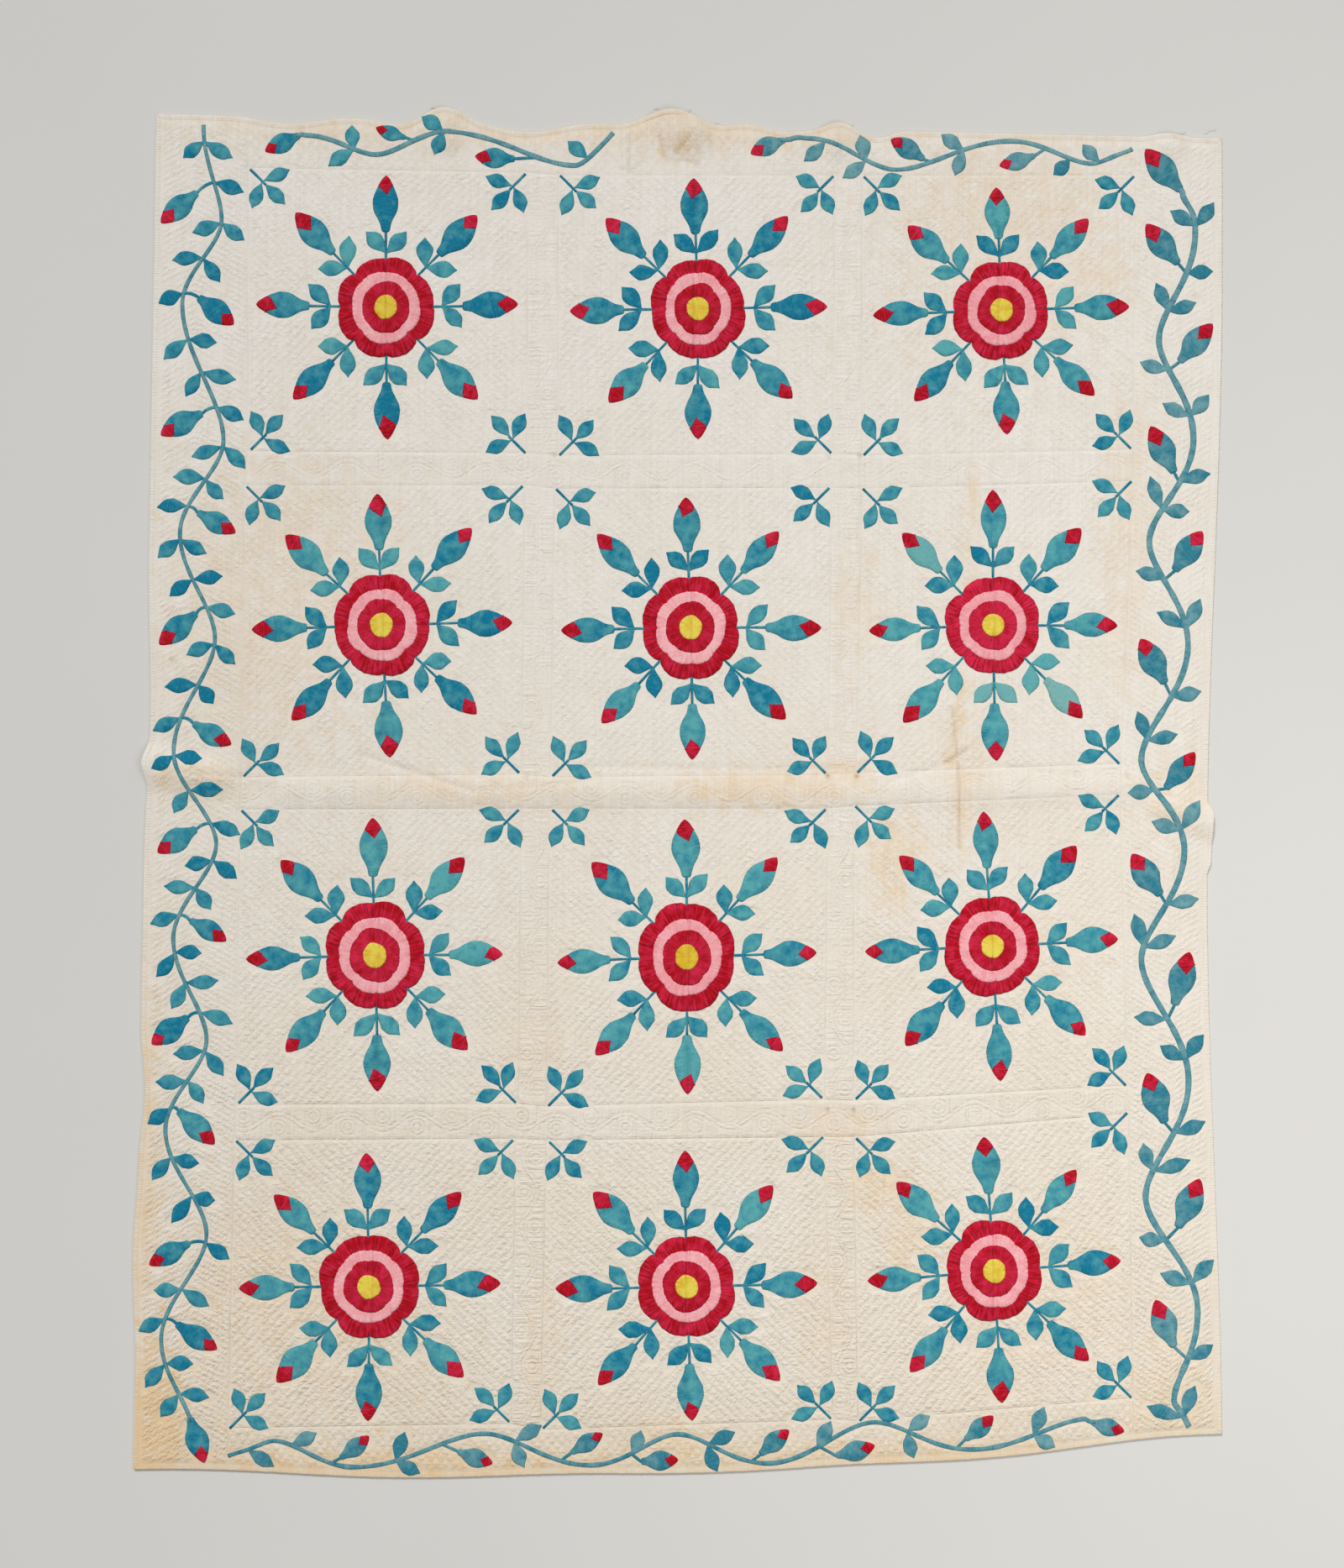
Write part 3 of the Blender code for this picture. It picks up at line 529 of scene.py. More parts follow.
def wear_and_painted_light(x, y):
    """Age, stains and rust of the muslin at each place. The age also holds painted light: it grows towards
    the lower edge, so the top is painted cooler and paler and the lower part warmer and darker.
    """
    # painted light: the colour warms and darkens from the top of the quilt down
    down = step((QUILT_TOP - y) / QUILT_LENGTH)
    age = 0.06 + 0.44 * down + 0.10 * wobble(x, y, 260, 11) + 0.3 * hump(y + EDGE_BAND, 190)
    age = np.clip(age + 0.09 * hump(y - EDGE_BAND, 150), 0, 1)
    stain = np.zeros_like(x)
    ragged = 1 + 0.35 * wobble(x, y, 34, 12) + 0.3 * wobble(x, y, 13, 13)
    for px, py, half_x, half_y, strength in STAINS:
        at_x, at_y = spot(px, py)
        away = np.hypot((x - at_x) / (half_x * PIXEL), (y - at_y) / (half_y * PIXEL))
        stain = np.maximum(stain, strength * step((STAIN_REACH - away * ragged) / STAIN_FADE))
    rust = np.zeros_like(x)
    for px, py, strength in RUST:
        at_x, at_y = spot(px, py)
        rust = np.maximum(rust, 0.7 * strength * hump(np.hypot(x - at_x, y - at_y), RUST_REACH))
    return {"age": age, "stain": stain, "rust": rust}


def new_piece(name, points, faces, material, numbers, maps):
    """A piece from points in millimetres, with numbers and pattern places for each point."""
    mesh = bpy.data.meshes.new(name)
    mesh.from_pydata((np.asarray(points, float) * MM).tolist(), [], faces)
    for label, values in numbers.items():
        values = np.ascontiguousarray(values, dtype=np.float32)
        mesh.attributes.new(label, "FLOAT", "POINT").data.foreach_set("value", values)
    corners = np.zeros(len(mesh.loops), dtype=np.int32)
    mesh.loops.foreach_get("vertex_index", corners)
    for label, places in maps.items():
        layer = mesh.uv_layers.new(name=label)
        layer.data.foreach_set("uv", np.asarray(places, np.float32)[corners].ravel())
    mesh.materials.append(material)
    mesh.shade_smooth()
    thing = bpy.data.objects.new(name, mesh)
    bpy.context.scene.collection.objects.link(thing)
    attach(thing, "root")
    return thing


class Pile:
    """Pieces cut from one cloth, gathered into one object."""

    def __init__(self):
        self.points, self.faces, self.count = [], [], 0
        self.shade, self.rim, self.uv = [], [], []

    def add(self, points, faces, shade, rim, uv):
        """Puts one more piece on the pile. rim is 1 at its sewn edge, and uv places its gathers."""
        base = self.count
        self.points.append(points)
        self.faces += [tuple(base + k for k in f) for f in faces]
        self.shade.append(np.full(len(points), shade))
        self.rim.append(rim)
        self.uv.append(uv)
        self.count += len(points)

    def sew(self, name, material):
        """Makes the whole pile one object."""
        points = np.concatenate(self.points)
        # painted shade of the folds down each column, which do not dent the applique
        numbers = {"shade": np.concatenate(self.shade), "rim": np.concatenate(self.rim),
                   "painted_fold_shade": fold_shadow(points[:, 0], points[:, 1])}
        return new_piece(name, points, self.faces, material, numbers,
                         {"gathers": np.concatenate(self.uv)})


FOLD_DARK, FOLD_REACH = 0.3, 2.6  # strength and half width of the painted shade in a pressed fold
PULL_REACH = 4.4  # half width of the dark line of a pull
PULL_SHOWS = 0.4  # depth from which a pull shows as a dark line
SHARP_PULL = 7.5  # half width below which a pull is sharp
PULL_DARK, SOFT_PULL_DARK = 0.38, 0.14  # how dark a pull is for each millimetre of its depth


def fold_shadow(x, y):
    """How dark the painted shade in the pressed folds down the middle of each column is."""
    dark = np.zeros_like(x)
    for *ends, _, _ in CREASES[:FOLDS]:
        dark = np.maximum(dark, FOLD_DARK * hump(from_pixels(x, y, *ends), FOLD_REACH))
    return dark


def pull_shadow(x, y):
    """How dark the sharp creases and pulls in the muslin are: painted shade, and near the top edge also the
    brown stitch lines left there.
    """
    dark = np.zeros_like(x)
    for *ends, half_width, depth in CREASES[FOLDS:]:
        line = hump(from_pixels(x, y, *ends), PULL_REACH)
        sharp = PULL_DARK if half_width < SHARP_PULL else SOFT_PULL_DARK
        dark = np.maximum(dark, sharp * max(0.0, -depth - PULL_SHOWS) * line)
    return dark


def strip_faces(rows, columns):
    """Faces of a closed piece whose top is a grid, and whose underside spans its two long edges."""
    faces = []
    for r in range(rows - 1):
        for c in range(columns - 1):
            a = r * columns + c
            faces.append((a, a + columns, a + columns + 1, a + 1))
    last = columns - 1
    for r in range(rows - 1):
        a, b = r * columns, (r + 1) * columns
        near = [a + c for c in range(columns)] if r == 0 else [a, a + last]
        far = [b + c for c in range(last, -1, -1)] if r == rows - 2 else [b + last, b]
        faces.append(tuple(near + far))
    return faces


MOTIFS = []  # (x0, y0, x1, y1, half width) of everything sewn on, which flattens the quilting there
TURN_IN = 1.2  # width of the rounded, turned-under edge
CLOTH_RISE = 1.15  # how far a piece's face stands above the ground's
STRIP_RISE, VINE_RISE, TIP_RISE = 0.95, 1.25, 1.0  # the same for a stem, a vine and a bud's red tip
SUNK = 0.12  # how far the hem stitches draw a piece's edge into the ground
GATHER_PITCH = 4.5  # from one gather of a piece's edge to the next
# Sections from edge to edge: height as a share of the rise, then how far each point belongs to the rim
LEAF_SECTION = ((0.0, 0.82, 1.0, 1.04, 1.0, 0.82, 0.0), (1.0, 0.55, 0.0, 0.0, 0.0, 0.55, 1.0))
STEM_SECTION = ((0.0, 0.9, 0.9, 0.0), (1.0, 0.4, 0.4, 1.0))


def spine_between(start, end, bend, shares):
    """Places along a line between two ends, bowed sideways by bend."""
    start, end = np.asarray(start, float), np.asarray(end, float)
    run = end - start
    length = np.hypot(*run)
    side = np.array((-run[1], run[0])) / length
    shares = np.asarray(shares)[:, None]
    return start + run * shares + side * bend * 4 * shares * (1 - shares)


def cut_piece(pile, spine, half, shade, rise=CLOTH_RISE, level_ends=False, fine=True, core=0.0):
    """Sews a piece with turned-under edges: a spine, and its half width at each place of it. core is how
    far the gathers of the edge reach across its middle."""
    spine, half = np.asarray(spine, float), np.asarray(half, float)
    run = np.gradient(spine, axis=0)
    run /= np.maximum(np.hypot(run[:, 0], run[:, 1]), 1e-9)[:, None]
    side = np.stack((-run[:, 1], run[:, 0]), axis=1)
    # Across the piece: its edge, the line where the turned-under part ends, and the flat middle
    ring = np.clip(1 - TURN_IN / np.maximum(half, 0.1), 0.45 if fine else 0.74, 0.97)
    one = np.ones_like(ring)
    middle = (-0.5 * ring, 0 * ring, 0.5 * ring) if fine else ()
    across = np.stack((-one, -ring, *middle, ring, one), axis=1)
    lifted, edge = LEAF_SECTION if fine else STEM_SECTION
    rows, columns = across.shape
    places = spine[:, None, :] + side[:, None, :] * (across * half[:, None])[..., None]
    x, y = places[..., 0], places[..., 1]
    heights = np.tile(np.array(lifted) * rise, (rows, 1))
    rim = np.maximum(np.tile(edge, (rows, 1)), np.broadcast_to(np.asarray(core, float), rows)[:, None])
    if not level_ends:
        heights[0] = heights[-1] = 0.0
        rim[0] = rim[-1] = 1.0
    z = face(x, y) - SUNK + heights
    walked = np.concatenate(([0.0], np.cumsum(np.hypot(*np.diff(spine, axis=0).T)))) / GATHER_PITCH
    uv = np.stack((np.tile(walked[:, None], (1, columns)), across * half[:, None] / GATHER_PITCH), -1)
    points = np.stack((x, y, z), axis=-1).reshape(-1, 3)
    pile.add(points, strip_faces(rows, columns), shade, rim.ravel(), uv.reshape(-1, 2))


# Where along a leaf, a bud and its tip the width is given, and that width as a share of the greatest
LEAF_SHARES = (0.0, 0.09, 0.20, 0.33, 0.45, 0.56, 0.67, 0.78, 0.88, 0.95, 0.985, 1.0)
LEAF_WIDTHS = (0.06, 0.21, 0.46, 0.75, 0.95, 1.00, 0.96, 0.74, 0.42, 0.20, 0.11, 0.05)
BUD_SHARES = (0.0, 0.012, 0.04, 0.075, 0.11, 0.16, 0.23, 0.31, 0.40, 0.49, 0.58, 0.67, 0.75, 0.82, 0.88,
              0.93, 0.97, 0.992, 1.0)
BUD_WIDTHS = (0.14, 0.27, 0.34, 0.37, 0.40, 0.46, 0.60, 0.79, 0.94, 1.00, 0.985, 0.89, 0.76, 0.60, 0.46,
              0.34, 0.21, 0.10, 0.04)
TIP_SHARES = (0.0, 0.08, 0.18, 0.28, 0.38, 0.46, 0.50, 0.56, 0.64, 0.74, 0.84, 0.92, 0.97, 1.0)
BUD_LENGTH = 92.0
BUD_HALF = 22.0
TIP_FROM = 0.645  # share of a bud's length at which its red kite begins
KITE_CORNER = 0.48  # share of the kite's own length at which it is widest
KITE_END = 1.006  # the kite reaches just past the end of the calyx
HIDDEN_FROM, HIDDEN_BY = 0.84, 0.6  # from there on the calyx is cut narrower, so that it hides below
TIP_SECTION = (0.0, 0.55, 0.9, 1.0, 0.9, 0.55, 0.0)  # rise of the kite over the calyx, from edge to edge
TIP_OVER_CALYX = 0.7
TIP_SUNK = 0.1


def rounded(line):
    """The line with one more point midway between each two, on a smooth curve through them all."""
    line = np.asarray(line, float)
    padded = np.concatenate((line[:1], line, line[-1:]))
    finer = np.empty((2 * len(line) - 1, line.shape[1]))
    finer[0::2] = line
    finer[1::2] = (9 * (padded[1:-2] + padded[2:-1]) - padded[:-3] - padded[3:]) / 16
    return finer


def leaf(pile, start, end, half, shade, draw):
    """A leaf with pointed ends, a little bowed and unevenly cut."""
    widths = [w * half * draw.uniform(0.96, 1.04) for w in LEAF_WIDTHS]
    shares, widths = rounded(np.column_stack((LEAF_SHARES, widths))).T
    cut_piece(pile, spine_between(start, end, draw.uniform(-2.2, 2.2), shares), widths, shade)
    MOTIFS.append((*start, *end, half * 0.62))


def bud(pile, tips, start, end, shade, draw, plump=1.0):
    """A pear-shaped calyx with a red kite set into its end."""
    start, end = np.asarray(start, float), np.asarray(end, float)
    length = float(np.hypot(*(end - start)))
    half = BUD_HALF * length / BUD_LENGTH * plump * draw.uniform(0.94, 1.07)
    bend = draw.uniform(-1.5, 1.5)
    widths = [w * half * draw.uniform(0.98, 1.02) for w in BUD_WIDTHS]
    # The calyx, whose neck is gathered right across
    hidden = [w - HIDDEN_BY if s > HIDDEN_FROM else w for w, s in zip(widths, BUD_SHARES)]
    neck = [0.5 * (1 - step(s / 0.3)) for s in BUD_SHARES]
    cut_piece(pile, spine_between(start, end, bend, BUD_SHARES), np.maximum(hidden, 0.4), shade, core=neck)
    # The kite: where it starts, how it slants, and its half width up to its corners and beyond them
    share = TIP_FROM + draw.uniform(-0.07, 0.025)
    along = [share + (KITE_END - share) * s for s in TIP_SHARES]
    side = turned(end - start, math.pi / 2) / length * draw.uniform(-0.3, 0.3) * half
    slant = np.clip(1 - np.array(TIP_SHARES) / KITE_CORNER, 0, 1)[:, None] * side
    corner = share + (KITE_END - share) * KITE_CORNER
    widest = half * np.interp(corner, BUD_SHARES, BUD_WIDTHS)
    kite = [0.15 + widest * (s - share) / (corner - share) if s < corner else
            0.4 + half * np.interp(s, BUD_SHARES, BUD_WIDTHS) for s in along]
    foot = [CLOTH_RISE * (1 - step((s - KITE_CORNER + 0.04) / 0.1)) for s in TIP_SHARES]
    cut_tip(tips, spine_between(start, end, bend, along) + slant, kite, foot, draw.uniform(0.4, 1.0))
    MOTIFS.append((*(start + (end - start) * 0.25), *(start + (end - start) * 0.8), half * 0.85))


def cut_tip(pile, spine, half, foot, shade):
    """The kite: its inner sides lie on the calyx and its outer sides are sewn to the ground."""
    spine, half, foot = np.asarray(spine), np.asarray(half, float), np.asarray(foot, float)
    before = len(pile.points)
    cut_piece(pile, spine, half, shade, rise=TIP_RISE)
    inner = np.array(TIP_SECTION)
    points = pile.points[before].reshape(len(spine), len(inner), 3)
    top = CLOTH_RISE + TIP_OVER_CALYX
    wanted = foot[:, None] * (1 - inner) + top * inner
    wanted[0], wanted[-1] = foot[0], 0.0
    points[..., 2] = face(points[..., 0], points[..., 1]) - TIP_SUNK + wanted


def stem(pile, spine, half, shade, draw):
    """A narrow folded strip."""
    widths = [half * draw.uniform(0.92, 1.08) for _ in spine]
    cut_piece(pile, spine, widths, shade, rise=STRIP_RISE, level_ends=True, fine=False, core=0.4)
    MOTIFS.append((*spine[0], *spine[-1], half))


ARMS = 8
# Distances from the middle of the rose, along an arm of the spray
STEM_PLACES = (66, 78, 90, 102, 114)
LEAVES_AT, NECK_AT, BUD_END_AT = 94, 126, 218
LEAF_REACH = 51
LEAF_LEAN = 46  # degrees between a leaf and its stem
# Half widths of the leaves of the sprays, the sprigs and the vines
SPRAY_LEAF_HALF, SPRIG_LEAF_HALF, VINE_LEAF_HALF = (12.7, 14.3), 11.6, (11.6, 12.9)
# Half width of a spray's and a sprig's stem, and how deep its blue is
SPRAY_STEM = (2.15, 0.72)
SPRIG_STEM = (2.3, 0.8)
SIDE_STEM_HALF = 2.7  # the same width for the side stems of the vines
SPRAY_SHADES = {  # how deep the blue of the calyxes and of the leaves is in each block
    "r1c1": (0.72, 0.35), "r1c2": (0.62, 0.55), "r1c3": (0.42, 0.45), "r2c1": (0.60, 0.45),
    "r2c2": (0.62, 0.72), "r2c3": (0.40, 0.40), "r3c1": (0.40, 0.42), "r3c2": (0.48, 0.50),
    "r3c3": (0.45, 0.62), "r4c1": (0.55, 0.62), "r4c2": (0.40, 0.60), "r4c3": (0.55, 0.60),
}
# How far more the dye has washed out of the bud and of the leaves of an arm, counted from the right
WASHED_OUT = {("r2c3", 7): (0.5, 0.55), ("r2c3", 6): (0, 0.3), ("r2c3", 3): (0.3, -0.3),
              ("r2c3", 1): (0.3, -0.2), ("r2c3", 2): (0.3, -0.3), ("r3c2", 6): (0.3, 0),
              ("r2c2", 6): (0.3, 0)}


def turned(point, angle):
    """A point turned about the origin."""
    c, s = math.cos(angle), math.sin(angle)
    return np.array((point[0] * c - point[1] * s, point[0] * s + point[1] * c))


def build_spray(block, draw):
    """Eight stems with a pair of leaves and a bud each, below the rose."""
    blues, reds = Pile(), Pile()
    centre = np.array((block.x, block.y), float)
    bud_shade, leaf_shade = SPRAY_SHADES[block.name]
    for k in range(ARMS):
        angle = math.radians(block.turn + 45 * k + draw.uniform(-1.2, 1.2))
        outward = turned((1, 0), angle) * block.spray
        washed_bud, washed_leaves = WASHED_OUT.get((block.name, k), (0, 0))
        deep = bud_shade + draw.uniform(-0.34, 0.34) - washed_bud
        pair = leaf_shade + draw.uniform(-0.28, 0.28) - washed_leaves
        neck = NECK_AT + draw.uniform(-2, 2)
        leaf_at = LEAVES_AT + draw.uniform(-2.5, 2.5)
        for hand in (-1, 1):
            foot = centre + outward * (leaf_at - 1)
            reach = turned((LEAF_REACH + draw.uniform(-3, 2.5), 0),
                           angle + hand * math.radians(LEAF_LEAN + draw.uniform(-4, 4)))
            leaf(blues, foot, foot + reach, draw.uniform(*SPRAY_LEAF_HALF),
                 pair + draw.uniform(-0.2, 0.2), draw)
        places = [centre + outward * r for r in (*STEM_PLACES, neck + 3)]
        stem(blues, places, *SPRAY_STEM, draw)
        lean = turned((0, draw.uniform(-2.5, 2.5)), angle)
        end = centre + outward * (BUD_END_AT + draw.uniform(-2.5, 2.5)) + lean
        bud(blues, reds, centre + outward * neck, end, deep, draw)
    spray = blues.sew("spray_of_" + block.name, BLUE)
    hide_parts("spray_" + block.name)
    tips = reds.sew("bud_tips_of_" + block.name, RED)
    return [spray, tips]


ROUND_STEPS = 192
ROSE_STRETCH = (0.965, 1.03)  # the roses are a little narrower than they are high
# Each layer of a rose: radius, unevenness, how far its rings lie in from its edge, and how high they lie
ROSE_LAYERS = {
    "red_rose": (83.3, 0.024, (0, 1.0, 3, 7, 12, 18, 24, 32), (-0.1, 1.4, 2.0, 2.5, 2.7, 2.7, 2.7, 2.7)),
    "pink_round": (59.2, 0.03, (0, 0.9, 3, 7, 12, 17, 24), (2.55, 3.5, 3.9, 4.0, 4.05, 4.05, 4.05)),
    "inner_red_round": (41.8, 0.035, (0, 0.9, 3, 7, 12, 18, 26), (3.9, 4.9, 5.25, 5.35, 5.4, 5.4, 5.4)),
    "yellow_centre": (19.5, 0.04, (0, 0.9, 3, 7, 12, 16, 18.6), (5.3, 6.2, 6.5, 6.65, 6.7, 6.7, 6.7)),
}
ROSE_COVER = 80  # radius within which no quilting runs under a rose
RIM_WIDTH = 7.0  # how far in from the edge of a layer the shade of its rim reaches
# Gathers round a layer's edge. The real ones lie about 6 mm apart, and are drawn coarser so they show
GATHER_TURNS = {"red_cotton": 70, "pink_cotton": 44, "yellow_cotton": 12}


def round_edge(radius, notch, seed, uneven):
    """Angles and radii of a hand-cut round with eight scallops, cut in deeper on the diagonals."""
    draw = random.Random(seed)
    angle = np.linspace(0, 2 * math.pi, ROUND_STEPS, endpoint=False)
    lobe = np.abs(np.sin(4 * angle)) ** 0.6
    cuts_in = np.array([notch * draw.uniform(0.7, 1.1) * (1.25 if k % 2 else 0.65) for k in range(ARMS)])
    nearest = np.round(angle / (math.pi / 4)).astype(int) % ARMS
    out = radius * (1 - cuts_in[nearest] * (1 - lobe))
    sizes = [draw.uniform(-1, 1) for _ in range(ARMS)]
    which = (angle / (math.pi / 4)).astype(int) % ARMS
    out = out * (1 + uneven * np.array(sizes)[which] * lobe)
    for rate in (2, 3, 5, 23, 41):
        out = out + radius * uneven * (0.28 if rate < 9 else 0.13) * np.sin(
            rate * angle + draw.uniform(0, 6.28))
    return angle, out


def round_piece(block, name, material, slot, notch, shade, seed):
    """One layer of a rose: rings from the sewn edge inwards, closed flat in the middle and below."""
    radius, uneven, insets, levels = ROSE_LAYERS[name]
    angle, out = round_edge(radius, notch, seed, uneven)
    turn = math.radians(block.turn)
    points, rims, uv = [], [], []
    for inset, level in zip(insets, levels):
        reach = np.maximum(out - inset, 0.02 * radius) if inset < 0.7 * radius else (
            np.full_like(out, radius - inset))
        x = reach * np.cos(angle) * ROSE_STRETCH[0] * block.rose[0]
        y = reach * np.sin(angle) * ROSE_STRETCH[1] * block.rose[1]
        wx = block.x + x * math.cos(turn) - y * math.sin(turn)
        wy = block.y + x * math.sin(turn) + y * math.cos(turn)
        swell = 0.16 * wobble(wx, wy, 13, seed + 5) if inset > 0 else 0.0
        points.append(np.stack((wx, wy, face(wx, wy) + level + swell), axis=1))
        rims.append(np.full(ROUND_STEPS, max(0.0, 1.0 - inset / RIM_WIDTH)))
        # The gathers are mirrored, so that they meet where a turn ends, and their depth is not
        turns = GATHER_TURNS[slot] * np.minimum(angle, 2 * math.pi - angle) / (2 * math.pi)
        uv.append(np.stack((turns, inset / 9.0 + 5 * np.sin(angle)), axis=1))
    faces = []
    for ring in range(len(insets) - 1):
        for k in range(ROUND_STEPS):
            a, b = ring * ROUND_STEPS + k, ring * ROUND_STEPS + (k + 1) % ROUND_STEPS
            faces.append((a, b, b + ROUND_STEPS, a + ROUND_STEPS))
    faces.append(tuple(range(ROUND_STEPS - 1, -1, -1)))
    faces.append(tuple((len(insets) - 1) * ROUND_STEPS + k for k in range(ROUND_STEPS)))
    pile = Pile()
    pile.add(np.concatenate(points), faces, shade, np.concatenate(rims), np.concatenate(uv))
    piece = pile.sew(name + "_of_" + block.name, material)
    return piece


def build_rose(block, number, draw):
    """Four rounds, each sewn on the one below."""
    # One rose has faded, and the yellow of another has stayed deep
    deep = 0.35 if block.name == "r2c3" else 0.72
    red = round_piece(block, "red_rose", RED, "red_cotton", draw.uniform(0.07, 0.11),
                      deep + draw.uniform(-0.12, 0.12), 100 + number)
    ring = round_piece(block, "pink_round", PINK, "pink_cotton", 0.05, draw.uniform(0.3, 0.8), 200 + number)
    inner = round_piece(block, "inner_red_round", RED, "red_cotton", 0.045,
                        deep - 0.1 + draw.uniform(-0.15, 0.15), 300 + number)
    eye = round_piece(block, "yellow_centre", YELLOW, "yellow_cotton", 0.015,
                      0.9 if block.name == "r3c2" else draw.uniform(0.1, 0.5), 400 + number)
    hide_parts("rose_" + block.name)
    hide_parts("rose_ring_" + block.name)
    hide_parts("rose_centre_" + block.name)
    MOTIFS.append((block.x - 1, block.y, block.x + 1, block.y, ROSE_COVER))
    return [red, ring, inner, eye]


SPRIG_SPREAD = 68  # degrees between the middle leaf of a sprig and each of the others
SPRIG_LEAF_LENGTH = (44, 49)


def build_sprigs(block, row, column, draw):
    """Three leaves on a short stem in each corner of a block."""
    pile = Pile()
    for up in (0, 1):
        for right in (0, 1):
            middle = spot(*SPRIGS[2 * row + 1 - up][2 * column + right])
            out = np.array((1 if right else -1, 1 if up else -1)) / math.sqrt(2)
            joint = middle + out * 13 + np.array((draw.uniform(-1, 1), draw.uniform(-1, 1)))
            shade = draw.uniform(0.45, 0.75)
            for spread in (-SPRIG_SPREAD, 0, SPRIG_SPREAD):
                way = turned(-out, math.radians(spread + draw.uniform(-5, 5)))
                start = joint + way * (6 if spread == 0 else 2)
                leaf(pile, start, start + way * draw.uniform(*SPRIG_LEAF_LENGTH), SPRIG_LEAF_HALF,
                     shade + draw.uniform(-0.1, 0.1), draw)
            end = joint + out * draw.uniform(27, 31)
            places = [joint - out * 8, joint, joint + out * 10, joint + out * 20, end]
            stem(pile, places, *SPRIG_STEM, draw)
    sprigs = pile.sew("corner_sprigs_of_" + block.name, BLUE)
    return [sprigs]


VINE_STEP = 4.5  # millimetres between the points of a vine
VINE_BUD_PLUMP = 1.08  # the vines' buds are a little fuller than the sprays'
UNDER_BUD = 9  # how near the foot of its end bud a vine's own line ends
DEEP_PAIR, DEEP_PAIRS = 0.35, 0.22  # how much deeper some pairs of leaves are dyed, and the share of them
LEFT_BOW = 2.5  # how far the side stems of the left vine are bowed


def winding_line(turns, upright, lean, ends):
    """Points of a vine at close steps, level with its border at each turning point but the two ends."""
    line = []
    for k, ((x0, y0), (x1, y1)) in enumerate(zip(turns, turns[1:])):
        run = abs(y1 - y0) if upright else abs(x1 - x0)
        share = np.arange(0, 1, VINE_STEP / run)
        soft = step(share)
        if k == 0:
            soft = (1 - ends[0]) * soft + ends[0] * (2 * share - share ** 2)
        if k == len(turns) - 2:
            soft = (1 - ends[1]) * soft + ends[1] * share ** 2
        across, along = (soft, share) if upright else (share, soft)
        off = lean * 16 * (share * (1 - share)) ** 2
        line.append(np.stack((x0 + (x1 - x0) * across + (off if upright else 0),
                              y0 + (y1 - y0) * along + (0 if upright else off)), axis=1))
    line.append(np.array([turns[-1]], float))
    return np.concatenate(line)


def on_vine(line, at, upright):
    """The vine's place at a pixel height (upright) or a pixel across."""
    level = spot(at, at)[1 if upright else 0]
    levels = line[:, 1] if upright else line[:, 0]
    return line[int(np.argmin(np.abs(levels - level)))]


def build_vine(name, draw):
    """A bias strip with its leaves, side stems and buds."""
    upright = name in ("left", "right")
    line = winding_line(VINES[name], upright, VINE_LEAN[name], VINE_ENDS[name])
    foot, tip = spot(*END_BUDS[name][:2]), spot(*END_BUDS[name][2:])
    reach = (tip - foot) / np.hypot(*(tip - foot))
    ends = [foot - reach * 3, foot + reach * 7]
    if np.hypot(*(line[0] - foot)) < np.hypot(*(line[-1] - foot)):
        line = np.concatenate((ends[::-1], line[np.hypot(*(line - foot).T) > UNDER_BUD]))
    else:
        line = np.concatenate((line[np.hypot(*(line - foot).T) > UNDER_BUD], ends))
    strip, greens, reds = Pile(), Pile(), Pile()
    half = VINE_HALF[name]
    strip_shade, leaf_shade = VINE_SHADES[name]
    widths = half * (1 + 0.10 * wobble(line[:, 0], line[:, 1], 30, 77))
    cut_piece(strip, line, widths, strip_shade, rise=VINE_RISE, level_ends=True, core=0.45)
    for a, b in zip(line[:-4:4], line[4::4]):
        MOTIFS.append((*a, *b, half))
    pair_at, pair_shade = None, leaf_shade
    for at, tip_x, tip_y in LEAVES[name]:
        root = on_vine(line, at, upright)
        if at != pair_at:
            deep = DEEP_PAIR if draw.random() < DEEP_PAIRS else 0.0
            pair_at, pair_shade = at, leaf_shade + deep + draw.uniform(-0.16, 0.16)
        leaf(greens, root, spot(tip_x, tip_y), draw.uniform(*VINE_LEAF_HALF),
             pair_shade + draw.uniform(-0.08, 0.08), draw)
    for at, neck_x, neck_y, tip_x, tip_y in BUDS[name]:
        root, neck, end = on_vine(line, at, upright), spot(neck_x, neck_y), spot(tip_x, tip_y)
        shade = leaf_shade + draw.uniform(-0.15, 0.35)
        bow = LEFT_BOW if name == "left" else 0.0
        if neck[0] < root[0]:
            bow = -bow
        places = spine_between(root, neck, bow, (0, 0.25, 0.5, 0.75, 1))
        stem(greens, [*places, neck + (end - neck) * 0.08], SIDE_STEM_HALF, shade + 0.1, draw)
        bud(greens, reds, neck, end, shade, draw, VINE_BUD_PLUMP)
    bud(greens, reds, foot, tip, leaf_shade + 0.1, draw, VINE_BUD_PLUMP)
    vine = strip.sew("vine_strip_" + name, FADED_BLUE)
    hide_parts("vine_" + name)
    leaves = greens.sew("vine_leaves_" + name, BLUE if name in ("left", "top_left") else FADED_BLUE)
    tips = reds.sew("vine_bud_tips_" + name, RED)
    return [vine, leaves, tips]


